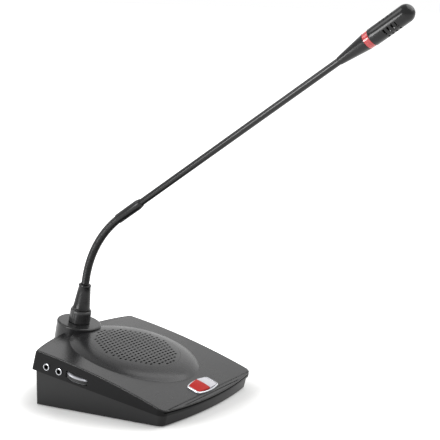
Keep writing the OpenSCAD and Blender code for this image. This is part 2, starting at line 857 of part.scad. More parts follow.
module system_socket()
    color("#a9abb0") on_socket()
    difference() {
        union() {
            cylinder(r = socket_flange_r, h = socket_flange_t);
            translate([0, 0, -socket_l]) cylinder(r = socket_r, h = socket_l + fit);
        }
        translate([0, 0, -socket_l - 1]) cylinder(r = socket_r - socket_t, h = 2 * socket_l);
    }
module socket_insert()
    color("#1b1b1c") on_socket() translate([0, 0, -socket_l])
    difference() {
        cylinder(r = socket_r - socket_t - fit, h = insert_t);
        at_pins() translate([0, 0, -1]) cylinder(r = pin_r + fit, h = insert_t + 2);
    }
module socket_pins()
    color("#d8b860") on_socket() translate([0, 0, -socket_l - 2]) at_pins() cylinder(r = pin_r, h = 12);

// Fittings on the tower

module tower_bush()
    color("#9a9ca2") on_tower() translate([0, 0, -bush_low])
    difference() {
        cylinder(r = bush_r, h = bush_low + bush_up);
        translate([0, 0, -1]) cylinder(r = neck_r + seam, h = 2 * (bush_low + bush_up));
    }
module bush_nut()
    color("#b8bac0") on_tower() translate([0, 0, -tower_top_t - nut_t])
    difference() {
        cylinder(r = nut_r, h = nut_t, $fn = 6);
        translate([0, 0, -1]) cylinder(r = bush_r + fit, h = nut_t + 2);
    }
module lock_collar()
    color("#222224") on_tower()
    difference() {
        rotate_extrude()
            polygon([[bush_r + fit, 0], [collar_r - 0.5, 0], [collar_r, 0.5], [collar_r, collar_h - 1],
                     [collar_r - 0.8, collar_h], [neck_r + seam, collar_h], [neck_r + seam, bush_up + fit],
                     [bush_r + fit, bush_up + fit]]);
        for (a = [0 : 15 : 359])
            rotate([0, 0, a]) translate([collar_r - 0.25, -0.5, 2.5]) cube([1, 1, collar_h - 5]);
    }
module stem_boot()
    let (z = collar_h, lip = 1.2)
    color("#2c2c2e") on_tower() rotate_extrude()
        polygon(concat([[neck_r + seam, z], [boot_r1, z], [boot_r1, z + lip], [boot_r1 - 0.7, z + 2 * lip],
                        [boot_r2 - 0.2, boot_top - 2 * lip]],
                       arc([boot_r2 - lip + 0.2, boot_top - lip], lip, 0, 90, 5),
                       [[boot_r2 - lip + 0.2, boot_top], [neck_r + seam, boot_top]]));
module neck_root()
    color("#303032") on_tower()
    union() {
        translate([0, 0, root_low]) cylinder(r = neck_r, h = neck_start - shoulder - root_low);
        translate([0, 0, neck_start]) sphere(r = ball_r);
    }

// Gooseneck links: a socket at the lower joint, a ball at the upper one

module ball_socket()
    sphere(r = ball_r + ball_gap);
module link(i)
    color("#303032") on_joint(i - 1)
    union() {
        difference() {
            translate([0, 0, shoulder]) cylinder(r = neck_r, h = link_l - 2 * shoulder);
            ball_socket();
        }
        translate([0, 0, link_l]) sphere(r = ball_r);
    }
module neck_link_1()
    link(1);
module neck_link_2()
    link(2);
module neck_link_3()
    link(3);
module neck_link_4()
    link(4);
module neck_link_5()
    link(5);
module neck_link_6()
    link(6);
module neck_link_7()
    link(7);

// Arm and head

module neck_sleeve()
    color("#2c2c2e") on_arm()
    difference() {
        rotate_extrude()
            polygon([[0, shoulder], [sleeve_r - 0.4, shoulder], [sleeve_r, shoulder + 0.6],
                     [sleeve_r, sleeve_end - sleeve_taper], [tube_r + 0.35, sleeve_end], [0, sleeve_end]]);
        ball_socket();
        translate([0, 0, tube_start]) cylinder(r = tube_r + fit, h = sleeve_end);
    }
module arm_tube()
    color("#333335") on_arm() translate([0, 0, tube_start])
    difference() {
        cylinder(r = tube_r, h = tube_end + cone_l / 2 - tube_start);
        translate([0, 0, -1]) cylinder(r = tube_bore, h = ring_z);
    }
module head_cone()
    color("#2a2a2c") on_arm()
    difference() {
        rotate_extrude()
            polygon([[0, tube_end], [tube_r + 0.5, tube_end], [tube_r + 0.5, tube_end + 1],
                     [ring_r, ring_z], [0, ring_z]]);
        translate([0, 0, tube_end - 1]) cylinder(r = tube_r + fit, h = cone_l / 2 + 1);
        translate([0, 0, tube_end]) cylinder(r = tube_bore, h = cone_l + 1);
    }
module light_ring()
    color([0.82, 0.2, 0.2, 0.9]) on_arm() rotate_extrude()
        polygon([[spigot_r - spigot_t, ring_z], [ring_r, ring_z], [ring_r, cap_z], [spigot_r, cap_z],
                 [spigot_r, cap_z + spigot_l], [spigot_r - spigot_t, cap_z + spigot_l]]);
module light_board()
    color("#1e5a38") on_arm() translate([0, 0, ring_z])
    difference() {
        cylinder(r = spigot_r - spigot_t - fit, h = light_board_t);
        translate([0, 0, -1]) cylinder(r = tube_bore, h = light_board_t + 2);
    }
module ring_lamps()
    color("#f0e0d8") on_arm()
    for (a = [0 : 60 : 300])
        rotate([0, 0, a])
            translate([spigot_r - spigot_t - lamp[0] - 0.2, -lamp[1] / 2, ring_z + light_board_t])
                cube(lamp);
module head_cap()
    color("#262628") on_arm()
    difference() {
        union() {
            translate([0, 0, cap_z]) cylinder(r = head_r, h = dome_end - cap_z);
            translate([0, 0, dome_end]) sphere(r = head_r);
        }
        translate([0, 0, cap_z - head_r]) cylinder(r = head_in, h = dome_end - cap_z + head_r);
        translate([0, 0, dome_end]) sphere(r = head_in);
        for (row = cap_rows, i = [0 : 3])
            cap_slot(row[0], row[1], cap_slot_z + i * cap_slot_step);
    }
// One slot across the cap's wall
module cap_slot(a, l, z)
    rotate([0, 0, a]) translate([-l / 2, head_r / 2, cap_z + z]) cube([l, head_r, cap_slot_w]);
module capsule_holder()
    color("#1b1b1c") on_arm() translate([0, 0, holder_z])
    difference() {
        cylinder(r = head_in - fit, h = holder_h);
        translate([0, 0, holder_t]) cylinder(r = capsule_r + fit, h = holder_h);
        translate([0, 0, -1]) cylinder(r = capsule_r / 2, h = holder_h);
    }
module mic_capsule()
    color("#b0b2b8") on_arm() translate([0, 0, holder_z + holder_t])
    difference() {
        cylinder(r = capsule_r, h = capsule_h);
        for (a = [0 : 60 : 300])
            rotate([0, 0, a]) translate([capsule_r / 2, 0, capsule_h - 0.6]) cylinder(r = 0.5, h = 1);
    }

top_cover();
speaker_grille();
case_body();
base_plate();
rubber_feet();
base_screws();
main_board();
board_screws();
board_chips();
board_capacitors();
board_connector();
speaker_gasket();
speaker_basket();
speaker_cone();
speaker_magnet();
speaker_screws();
headphone_jack();
line_jack();
jack_rings();
volume_pot();
volume_wheel();
key_frame();
red_key();
silver_key();
key_board();
key_switches();
key_board_screws();
system_socket();
socket_insert();
socket_pins();
tower_bush();
bush_nut();
lock_collar();
stem_boot();
neck_root();
neck_link_1();
neck_link_2();
neck_link_3();
neck_link_4();
neck_link_5();
neck_link_6();
neck_link_7();
neck_sleeve();
arm_tube();
head_cone();
light_ring();
light_board();
ring_lamps();
head_cap();
capsule_holder();
mic_capsule();
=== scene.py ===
import math
import bmesh
import bpy
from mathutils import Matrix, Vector


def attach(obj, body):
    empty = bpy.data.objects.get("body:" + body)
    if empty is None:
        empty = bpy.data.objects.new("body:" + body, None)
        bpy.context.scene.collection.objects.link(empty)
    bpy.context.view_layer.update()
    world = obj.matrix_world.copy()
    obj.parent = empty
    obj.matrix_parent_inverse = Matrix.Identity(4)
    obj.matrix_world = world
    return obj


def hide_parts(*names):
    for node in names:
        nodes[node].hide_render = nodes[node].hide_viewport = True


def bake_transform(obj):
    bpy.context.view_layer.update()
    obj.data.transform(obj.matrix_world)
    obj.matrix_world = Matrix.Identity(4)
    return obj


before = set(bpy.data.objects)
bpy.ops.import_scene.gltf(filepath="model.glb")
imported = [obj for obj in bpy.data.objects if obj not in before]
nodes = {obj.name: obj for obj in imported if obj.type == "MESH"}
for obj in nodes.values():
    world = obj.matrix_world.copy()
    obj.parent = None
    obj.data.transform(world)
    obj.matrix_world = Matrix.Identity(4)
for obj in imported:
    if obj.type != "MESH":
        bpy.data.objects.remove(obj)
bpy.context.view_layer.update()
mm = 0.001
quarter = math.pi / 2
hair = 0.01         # mm, for finding points and faces by their place
weld = {"points": 0.000002, "outline": 0.000005, "cells": 0.00001}     # merging distances in metres
print("frame loaded,", len(nodes), "nodes")


def lookAt(obj, eye, aim):
    obj.rotation_euler = (Vector(aim) - Vector(eye)).to_track_quat("-Z", "Y").to_euler()


# camera
shot = {"eye": (-1.15890, -0.76025, 0.41612), "aim": (0.13040, 0.0, 0.140145),
        "lens": 130.909, "sensor": 36}
bpy.ops.object.camera_add(location=shot["eye"])
camera = bpy.context.object
camera.name = "deskCamera"
lookAt(camera, shot["eye"], shot["aim"])
camera.data.lens = shot["lens"]
camera.data.sensor_width = shot["sensor"]
bpy.context.scene.camera = camera
bpy.context.scene.view_settings.view_transform = "Standard"


# selecting and shaping
def editing():
    bpy.ops.object.mode_set(mode="EDIT")


def done():
    bpy.ops.object.mode_set(mode="OBJECT")


def fresh():
    if bpy.context.object and bpy.context.object.mode != "OBJECT":
        done()
    bpy.ops.object.select_all(action="DESELECT")


def only(obj):
    fresh()
    obj.select_set(True)
    bpy.context.view_layer.objects.active = obj


def named(name):
    obj = bpy.context.object
    obj.name = name
    bpy.ops.object.transform_apply(location=True, rotation=True, scale=True)
    return obj


def pick(obj, kind, test):          # kind is verts, edges or faces; leaves the mesh in edit mode
    if bpy.context.object != obj or obj.mode != "EDIT":
        only(obj)
        editing()
    bpy.ops.mesh.select_mode(type={"verts": "VERT", "edges": "EDGE", "faces": "FACE"}[kind])
    bpy.ops.mesh.select_all(action="DESELECT")
    mesh = bmesh.from_edit_mesh(obj.data)
    found = 0
    for item in getattr(mesh, kind):
        if test(item):
            item.select_set(True)
            found += 1
    mesh.select_flush_mode()
    bmesh.update_edit_mesh(obj.data)
    return found


def anyItem(item):
    return True


def middle(item):
    return sum((v.co for v in item.verts), Vector()) / len(item.verts) / mm


def sharp(edge, degrees):
    return len(edge.link_faces) == 2 and edge.calc_face_angle() > math.radians(degrees)


def rounded(obj, test, size, segments, clamp=False):    # bevels the edges that pass the test
    found = pick(obj, "edges", test)
    bpy.ops.mesh.bevel(offset=size * mm, segments=segments, affect="EDGES", clamp_overlap=clamp)
    done()
    return found


def worked(obj, kind, **values):    # one modifier, applied
    only(obj)
    modifier = obj.modifiers.new(kind.lower(), kind)
    for key, value in values.items():
        setattr(modifier, key, value)
    bpy.ops.object.modifier_apply(modifier=modifier.name)


def carve(obj, tool, way="DIFFERENCE"):
    worked(obj, "BOOLEAN", object=tool, operation=way, solver="EXACT")
    bpy.data.objects.remove(tool)


def tidy(obj, angle=32):            # doubles merged, faces outwards, shading split at real edges
    only(obj)
    editing()
    bpy.ops.mesh.select_all(action="SELECT")
    bpy.ops.mesh.remove_doubles(threshold=weld["points"])
    bpy.ops.mesh.normals_make_consistent(inside=False)
    done()
    bpy.ops.object.shade_smooth_by_angle(angle=math.radians(angle))


def evened(obj):                    # large flat faces keep their own shading beside round edges
    worked(obj, "WEIGHTED_NORMAL", keep_sharp=True, weight=60)


def seat(obj, spot, lean=0.0, turn=0.0):    # leans about X, turns about Y, then moves there
    only(obj)
    obj.location = Vector(spot) * mm
    obj.rotation_euler = (lean, turn, 0)
    bpy.ops.object.transform_apply(location=True, rotation=True, scale=True)
    return obj


def block(name, low, high):
    fresh()
    low, high = Vector(low), Vector(high)
    bpy.ops.mesh.primitive_cube_add(size=mm, location=(low + high) / 2 * mm, scale=high - low)
    return named(name)


def drum(name, radius, low, high, sides=128):
    fresh()
    bpy.ops.mesh.primitive_cylinder_add(vertices=sides, radius=radius * mm, depth=(high - low) * mm,
                                        location=(0, 0, (low + high) / 2 * mm))
    return named(name)


def arc(cx, cy, r, start, stop, steps):
    turn = [start + (stop - start) * i / steps for i in range(steps)]
    return [(cx + r * math.cos(a), cy + r * math.sin(a)) for a in turn]


def barrelOutline(halfWidth, rear, front, rearBow, frontBow, rearRound, frontRound, inset=0.0):
    # straight sides, a bowed rear and front, and round corners
    bowSteps, rearSteps, frontSteps, leastRound = 40, 9, 14, 0.2
    rearArc = (halfWidth ** 2 + rearBow ** 2) / (2 * rearBow)
    frontArc = (halfWidth ** 2 + frontBow ** 2) / (2 * frontBow)
    rearY, frontY = rear + rearBow - rearArc, frontArc - front - frontBow
    rearX, frontX = halfWidth - rearRound, halfWidth - frontRound
    rearTurn = math.asin(rearX / (rearArc - rearRound))
    frontTurn = math.asin(frontX / (frontArc - frontRound))
    rearCorner = rearY + (rearArc - rearRound) * math.cos(rearTurn)
    frontCorner = frontY - (frontArc - frontRound) * math.cos(frontTurn)
    rearTip, frontTip = max(rearRound - inset, leastRound), max(frontRound - inset, leastRound)
    q = quarter
    return (arc(0, rearY, rearArc - inset, q - rearTurn, q + rearTurn, bowSteps)
            + arc(-rearX, rearCorner, rearTip, q + rearTurn, 2 * q, rearSteps)
            + arc(-frontX, frontCorner, frontTip, 2 * q, 3 * q - frontTurn, frontSteps)
            + arc(0, frontY, frontArc - inset, 3 * q - frontTurn, 3 * q + frontTurn, bowSteps)
            + arc(frontX, frontCorner, frontTip, 3 * q + frontTurn, 4 * q, frontSteps)
            + arc(rearX, rearCorner, rearTip, 0, q - rearTurn, rearSteps))


def traced(name, points, low, high):        # one point drawn round the outline, filled, pulled up
    fresh()
    bpy.ops.mesh.primitive_plane_add(size=mm, location=Vector((*points[0], low)) * mm)
    obj = named(name)
    editing()
    bpy.ops.mesh.select_mode(type="VERT")
    bpy.ops.mesh.select_all(action="SELECT")
    bpy.ops.mesh.merge(type="CENTER")
    for here, there in zip(points, points[1:] + points[:1]):
        step = Vector((there[0] - here[0], there[1] - here[1], 0)) * mm
        bpy.ops.mesh.extrude_region_move(TRANSFORM_OT_translate={"value": step})
    bpy.ops.mesh.select_all(action="SELECT")
    bpy.ops.mesh.remove_doubles(threshold=weld["outline"])
    bpy.ops.mesh.edge_face_add()
    pull = (0, 0, (high - low) * mm)
    bpy.ops.mesh.extrude_region_move(TRANSFORM_OT_translate={"value": pull})
    bpy.ops.mesh.select_all(action="SELECT")
    bpy.ops.mesh.normals_make_consistent(inside=False)
    done()
    return obj


def ringed(name, stations, sides=64, ends=("fill", "fill")):
    # rings drawn out one after another; a station is (y, z, lean, radius)
    # an end is fill, tip, open or join
    sameLean = 1e-7
    fresh()
    y, z, lean, r = stations[0]
    bpy.ops.mesh.primitive_circle_add(vertices=sides, radius=r * mm, location=(0, y * mm, z * mm),
                                      rotation=(lean, 0, 0))
    obj = named(name)
    editing()
    bpy.ops.mesh.select_mode(type="VERT")
    bpy.ops.mesh.select_all(action="SELECT")
    if ends[0] == "fill":
        bpy.ops.mesh.edge_face_add()
    for y2, z2, lean2, r2 in stations[1:]:
        bpy.ops.mesh.extrude_edges_move()
        centre = Vector((0, y, z)) * mm
        if abs(lean2 - lean) > sameLean:
            bpy.ops.transform.rotate(value=lean - lean2, orient_axis="X", center_override=centre)
        bpy.ops.transform.resize(value=(r2 / r,) * 3, center_override=centre)
        bpy.ops.transform.translate(value=(0, (y2 - y) * mm, (z2 - z) * mm))
        y, z, lean, r = y2, z2, lean2, r2
    if ends[1] == "fill":
        bpy.ops.mesh.edge_face_add()
    elif ends[1] == "tip":
        bpy.ops.mesh.merge(type="CENTER")
    elif ends[1] == "join":                 # the last ring lies on the first
        bpy.ops.mesh.select_all(action="SELECT")
        bpy.ops.mesh.remove_doubles(threshold=weld["points"])
    bpy.ops.mesh.select_all(action="SELECT")
    bpy.ops.mesh.normals_make_consistent(inside=False)
    done()
    return obj


def turned(name, profile, sides=64, ends=("fill", "fill")):     # profile of (radius, height)
    return ringed(name, [(0, z, 0, r) for r, z in profile], sides, ends)


def copied(obj, name):
    twin = obj.copy()
    twin.data = obj.data.copy()
    twin.name = name
    bpy.context.scene.collection.objects.link(twin)
    return twin


def joined(name, parts):
    only(parts[0])
    for part in parts:
        part.select_set(True)
    bpy.ops.object.join()
    return named(name)


# shader groups
def shaderGroup(name, ins, outs):
    tree = bpy.data.node_groups.new(name, "ShaderNodeTree")
    for label, value in ins.items():
        socket = tree.interface.new_socket(label, in_out="INPUT", socket_type="NodeSocketFloat")
        socket.default_value = value
    for label in outs:
        tree.interface.new_socket(label, in_out="OUTPUT", socket_type="NodeSocketFloat")
    return tree, tree.nodes.new("NodeGroupInput").outputs, tree.nodes.new("NodeGroupOutput").inputs


def wired(tree, kind, links=None, given=None, **settings):  # given holds the sockets' own values
    node = tree.nodes.new(kind)
    for key, value in settings.items():
        setattr(node, key, value)
    for socket, value in (given or {}).items():
        node.inputs[socket].default_value = value
    for socket, source in (links or {}).items():
        tree.links.new(source, node.inputs[socket])
    return node


def noise(tree, links, **given):
    return wired(tree, "ShaderNodeTexNoise", links, given).outputs["Fac"]


def ranged(tree, value, given, **settings):
    return wired(tree, "ShaderNodeMapRange", {"Value": value}, given, **settings).outputs["Result"]


def maths(tree, operation, first, second):
    links = {0: first, 1: second}
    return wired(tree, "ShaderNodeMath", links, operation=operation).outputs["Value"]


# moulded plastic: fine spark-eroded grain, and slow clouds of tone
tree, knobs, result = shaderGroup("mouldedGrain", {"Grain": 1600.0, "Cloud": 30.0},
                                  ("Height", "Tone"))
spot = wired(tree, "ShaderNodeTexCoord").outputs["Object"]
fine = noise(tree, {"Vector": spot, "Scale": knobs["Grain"]}, Detail=3)
cloud = noise(tree, {"Vector": spot, "Scale": knobs["Cloud"]}, Detail=5)
tree.links.new(fine, result["Height"])
tree.links.new(cloud, result["Tone"])

# hands and wiping: smudges that change the gloss
tree, knobs, result = shaderGroup("handSmudge", {"Size": 22.0, "Amount": 0.5}, ("Mask",))
spot = wired(tree, "ShaderNodeTexCoord").outputs["Object"]
warp = noise(tree, {"Vector": spot, "Scale": knobs["Size"]}, Detail=6, Distortion=1.4)
ramp = ranged(tree, warp, {"From Min": 0.48, "From Max": 0.72})
tree.links.new(maths(tree, "MULTIPLY", ramp, knobs["Amount"]), result["Mask"])

# dust that settles on what faces up
tree, knobs, result = shaderGroup("settledDust", {"Size": 900.0, "Amount": 0.1}, ("Mask",))
place = wired(tree, "ShaderNodeTexCoord").outputs
facing = wired(tree, "ShaderNodeSeparateXYZ", {0: place["Normal"]})
upward = ranged(tree, facing.outputs["Z"], {"From Min": 0.3, "From Max": 1.0})
speck = noise(tree, {"Vector": place["Object"], "Scale": knobs["Size"]}, Detail=2)
specks = ranged(tree, speck, {"From Min": 0.58, "From Max": 0.75})
share = maths(tree, "MULTIPLY", specks, upward)
tree.links.new(maths(tree, "MULTIPLY", share, knobs["Amount"]), result["Mask"])

# metal: fine lines one way, from turning or rolling
tree, knobs, result = shaderGroup("drawnLines", {"Along": 60.0, "Across": 2600.0},
                                  ("Height", "Tone"))
spot = wired(tree, "ShaderNodeTexCoord").outputs["Object"]
stretch = wired(tree, "ShaderNodeCombineXYZ",
                {"X": knobs["Along"], "Y": knobs["Along"], "Z": knobs["Across"]})
scaled = wired(tree, "ShaderNodeVectorMath", {0: spot, 1: stretch.outputs["Vector"]},
               operation="MULTIPLY")
lines = noise(tree, {"Vector": scaled.outputs["Vector"]}, Scale=1, Detail=3)
tree.links.new(lines, result["Height"])
tree.links.new(lines, result["Tone"])


def tint(code):                 # screen colour to scene light
    parts = [int(code[i:i + 2], 16) / 255 for i in (1, 3, 5)]
    light = [p / 12.92 if p <= 0.04045 else ((p + 0.055) / 1.055) ** 2.4 for p in parts]
    return (*light, 1.0)


def groupIn(tree, name, **values):
    node = tree.nodes.new("ShaderNodeGroup")
    node.node_tree = bpy.data.node_groups[name]
    for key, value in values.items():
        node.inputs[key].default_value = value
    return node.outputs


# what a finish has where its own look says nothing else
plainLook = {"grain": 1600, "cloud": 30, "along": 60, "across": 2600, "bump": 0.15, "depth": 0.05,
             "smudge": 0.4, "smudgeSize": 22, "dust": 0.06, "dustTone": "#8d8b86",
             "metal": 0.0, "coat": 0.0, "shine": 0.5}
mixFirst, mixSecond, mixed = 6, 7, 2        # the colour sockets of a Mix node


def finish(name, look):         # look has dark and light tones, a range of roughness, and the rest
    look = {**plainLook, **look}
    mat = bpy.data.materials.new(name)
    mat.use_nodes = True
    tree = mat.node_tree
    shader = tree.nodes["Principled BSDF"].inputs
    if look["metal"]:
        grain = groupIn(tree, "drawnLines", Along=look["along"], Across=look["across"])
    else:
        grain = groupIn(tree, "mouldedGrain", Grain=look["grain"], Cloud=look["cloud"])
    smudge = groupIn(tree, "handSmudge", Size=look["smudgeSize"], Amount=look["smudge"])
    dust = groupIn(tree, "settledDust", Amount=look["dust"])
    tone = wired(tree, "ShaderNodeMix", {0: grain["Tone"]},
                 {mixFirst: tint(look["dark"]), mixSecond: tint(look["light"])}, data_type="RGBA")
    dusted = wired(tree, "ShaderNodeMix", {0: dust["Mask"], mixFirst: tone.outputs[mixed]},
                   {mixSecond: tint(look["dustTone"])}, data_type="RGBA")
    gloss = ranged(tree, smudge["Mask"], {"To Min": look["rough"][0], "To Max": look["rough"][1]})
    bump = wired(tree, "ShaderNodeBump", {"Height": grain["Height"]},
                 {"Strength": look["bump"], "Distance": look["depth"] * mm})
    tree.links.new(dusted.outputs[mixed], shader["Base Color"])
    tree.links.new(gloss, shader["Roughness"])
    tree.links.new(bump.outputs["Normal"], shader["Normal"])
    shader["Metallic"].default_value = look["metal"]
    shader["Coat Weight"].default_value = look["coat"]
    shader["Specular IOR Level"].default_value = look["shine"]
    return mat


def dress(obj, mat, body, slot, *stands):
    obj.data.materials.clear()
    obj.data.materials.append(mat)
    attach(obj, body)
    if stands:
        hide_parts(*stands)
    print("made", obj.name, len(obj.data.polygons), "faces")


def secondFinish(obj, mat, test):       # a second material on the faces that pass the test
    obj.data.materials.append(mat)
    obj.active_material_index = 1
    pick(obj, "faces", test)
    bpy.ops.object.material_slot_assign()
    done()


print("tools and shader groups ready")

# floor, sky and lamps; a lamp has its name, place, width, height and power
studio = {"floor": "#dededd", "floorSize": 12, "floorDrop": 0.0002, "sky": 0.36, "white": (1, 1, 1, 1),
          "floorGlow": 0.17, "fade": (0.085, 0.16), "lampAim": (0, 0, 0.08),
          "lamps": (("keyLamp", (0.95, -1.1, 1.9), 2.2, 2.2, 43.0),
                    ("rearLamp", (-0.9, 1.6, 1.7), 1.2, 1.2, 14.0),
                    ("leftBox", (-0.92, 0.36, 0.27), 0.45, 0.36, 7.0),
                    ("rightBox", (0.6, 0.05, 0.36), 0.8, 0.66, 0.65))}


def seenRay(tree):              # what the camera sees, straight on, mirrored or through glass
    ray = wired(tree, "ShaderNodeLightPath").outputs
    seen = maths(tree, "MAXIMUM", ray["Is Camera Ray"], ray["Is Glossy Ray"])
    return maths(tree, "MAXIMUM", seen, ray["Is Transmission Ray"])


fresh()
bpy.ops.mesh.primitive_plane_add(size=studio["floorSize"], location=(0, 0, -studio["floorDrop"]))
floor = named("floorSheet")
paper = bpy.data.materials.new("paperFloor")
paper.use_nodes = True
tree = paper.node_tree
shader = tree.nodes["Principled BSDF"].inputs
shader["Base Color"].default_value = tint(studio["floor"])
shader["Roughness"].default_value = 0.9
shader["Specular IOR Level"].default_value = 0.1
spot = wired(tree, "ShaderNodeTexCoord").outputs["Object"]
reach = wired(tree, "ShaderNodeVectorMath", {0: spot}, operation="LENGTH").outputs["Value"]
away = ranged(tree, reach, {"From Min": studio["fade"][0], "From Max": studio["fade"][1],
                            "To Min": studio["floorGlow"], "To Max": 1.0},
              interpolation_type="SMOOTHSTEP")
shader["Emission Color"].default_value = studio["white"]
glow = maths(tree, "MULTIPLY", seenRay(tree), away)     # white paper further out
tree.links.new(glow, shader["Emission Strength"])
floor.data.materials.append(paper)

world = bpy.data.worlds.new("whiteRoom")
bpy.context.scene.world = world
world.use_nodes = True
tree = world.node_tree
level = ranged(tree, seenRay(tree), {"To Min": studio["sky"], "To Max": 1.0})
tree.links.new(level, tree.nodes["Background"].inputs["Strength"])
tree.nodes["Background"].inputs["Color"].default_value = studio["white"]
for name, place, wide, tall, power in studio["lamps"]:
    bpy.ops.object.light_add(type="AREA", location=place)
    lamp = bpy.context.object
    lamp.name = name
    lamp.data.shape = "RECTANGLE"
    lamp.data.size, lamp.data.size_y = wide, tall
    lamp.data.energy = power
    lookAt(lamp, place, studio["lampAim"])
print("studio ready")

# lid surface: a drum through its corners
lid = {"width": 150.0, "depth": 132.0, "rear": 51.0, "front": 15.6, "crown": 3.5,
       "rearBow": 11.5, "frontBow": 7.0, "rearRound": 3.0, "frontRound": 8.0, "thick": 2.4,
       "lip": 1.3, "grooveIn": 1.3, "grooveOut": 3, "overcut": 1, "ledge": 1.0, "ledgeDrop": 1.0,
       "seam": 0.1, "rim": 0.95, "rimWeld": 0.2, "drumReach": 150, "drumSides": 1440}
half = lid["width"] / 2
slope = math.atan2(lid["rear"] - lid["front"], lid["depth"])
midHeight = (lid["rear"] + lid["front"]) / 2
halfRun = lid["depth"] / 2 / math.cos(slope)
crownRise = lid["crown"] * math.cos(slope)
crownRadius = (halfRun ** 2 + crownRise ** 2) / (2 * crownRise)
crownY = (crownRadius - crownRise) * math.sin(slope)
crownZ = midHeight - (crownRadius - crownRise) * math.cos(slope)


def lidHeight(y):
    return crownZ + math.sqrt(crownRadius ** 2 - (y - crownY) ** 2)


def lidTilt(y):
    return -math.asin((y - crownY) / crownRadius)


def onLid(obj, x, y):           # from a flat drawing to the lid at y
    return seat(obj, (x, y, lidHeight(y)), lidTilt(y))


def lidDrum(drop):
    form = drum("lidDrum", crownRadius - drop, -lid["drumReach"], lid["drumReach"], lid["drumSides"])
    return seat(form, (0, crownY, crownZ), 0, quarter)


def bandOutline(inset):
    return barrelOutline(half, halfRun, halfRun, lid["rearBow"], lid["frontBow"],
                         lid["rearRound"], lid["frontRound"], inset)


def lidOutline(gap, proud, inset=0.0):
    return barrelOutline(half - lid["ledge"] - gap, halfRun + proud, halfRun + proud,
                         lid["rearBow"], lid["frontBow"], lid["rearRound"],
                         lid["frontRound"] - lid["ledge"], inset)


def onSlope(name, outline, low=-90, high=60):
    return seat(traced(name, outline, low, high), (0, 0, midHeight), slope)


band = {"height": 21.4, "slope": math.radians(9.6), "wall": 2.2}


def bandHeight(y):
    return band["height"] + y * math.tan(band["slope"])


def cutAtBand(obj, rise, keepAbove):
    pick(obj, "faces", anyItem)
    bpy.ops.mesh.bisect(plane_co=(0, 0, (band["height"] + rise) * mm),
                        plane_no=(0, -math.sin(band["slope"]), math.cos(band["slope"])),
                        use_fill=True, clear_inner=keepAbove, clear_outer=not keepAbove)
    done()


# dome: radii at which its profile is drawn, and the foot that runs out softly
dome = {"y": 12.0, "radius": 55.5, "rise": 5.1, "power": 5, "foot": 0.4, "wall": 2.2, "grille": 41.2,
        "apron": [(62.0, -3.2), (59.0, -1.75), (57.2, -0.65), (56.0, 0.05)],
        "shoulder": (55.1, 54.2, 53, 51.5, 50, 48, 46, 44, 42, 40),
        "hollow": (53.3, 50, 46, 41), "hollowLow": -40}


def domeHeight(r):
    return dome["foot"] + dome["rise"] * (1 - (r / dome["radius"]) ** dome["power"])


tower = {"y": 72.4, "rise": 8.0, "radius": 20.3, "tilt": math.radians(11.5), "rim": 1.5, "rimSteps": 7,
         "top": 3.0, "bore": 5.9, "hollow": 18.1, "deep": 60.0, "sides": 160, "play": 0.2}
towerTop = (0.0, tower["y"], lidHeight(tower["y"]) + tower["rise"])

# lid with the dome's shoulder and the tower
lidShell = onSlope("lidShell", lidOutline(lid["seam"], 0))
carve(lidShell, lidDrum(0), "INTERSECT")
carve(lidShell, lidDrum(lid["thick"]))
groove = onSlope("lidGroove", lidOutline(-lid["grooveOut"], lid["grooveOut"]))
carve(groove, lidDrum(lid["lip"]), "INTERSECT")         # a shadow groove runs under the lip
carve(groove, lidDrum(lid["thick"] + lid["overcut"]))
carve(groove, onSlope("grooveCore", lidOutline(lid["seam"], 0, lid["grooveIn"])))
carve(lidShell, groove)

shoulder = [(r, domeHeight(r)) for r in dome["shoulder"]]
domeCap = turned("domeCap", dome["apron"] + shoulder, sides=192)
carve(lidShell, onLid(domeCap, 0, dome["y"]), "UNION")
hollow = [(dome["hollow"][0], dome["hollowLow"])]
hollow += [(r, domeHeight(r) - dome["wall"]) for r in dome["hollow"]]
domeHollow = turned("domeHollow", hollow, sides=96)
rimCentre = tower["radius"] - tower["rim"]
column = [(tower["radius"], -tower["deep"])]
column += [(rimCentre + x, -tower["rim"] + z)
           for x, z in arc(0, 0, tower["rim"], 0, quarter, tower["rimSteps"])]
column += [(rimCentre, 0)]
towerBody = seat(turned("towerBody", column, sides=tower["sides"]), towerTop, tower["tilt"])
cutAtBand(towerBody, 0, True)
carve(lidShell, towerBody, "UNION")
carve(lidShell, onLid(domeHollow, 0, dome["y"]))
core = [(tower["hollow"], -tower["deep"]), (tower["hollow"], -tower["top"])]
inner = seat(turned("towerHollow", core, sides=96), towerTop, tower["tilt"])
cutAtBand(inner, band["wall"], True)
carve(lidShell, inner)
bushHole = drum("bushHole", tower["bore"], low=-10, high=10, sides=64)
carve(lidShell, seat(bushHole, towerTop, tower["tilt"]))
grilleHole = drum("grilleHole", dome["grille"] + lid["seam"], low=-30, high=30, sides=192)
carve(lidShell, onLid(grilleHole, 0, dome["y"]))
key = {"y": -59.0, "width": 34.0, "depth": 13.0, "bow": 2.5, "corner": 3.0, "rise": 3.4, "rim": 1.3,
       "rimRise": 1.6, "sleeve": 0.6, "gap": 0.3, "ball": 60.0}


def keyOutline(inset):
    return barrelOutline(key["width"] / 2, key["depth"] / 2, key["depth"] / 2,
                         key["bow"], key["bow"], key["corner"], key["corner"], inset)


keyHole = traced("keyHole", keyOutline(key["sleeve"] - lid["seam"]), low=-12, high=12)
carve(lidShell, onLid(keyHole, 0, key["y"]))

# the lid's own rim is what lies this far from the dome, the tower and the keys
rimFree = {"dome": 4, "tower": 1, "keySide": 1, "keyEnd": 0.5, "angle": 50, "off": 0.05}


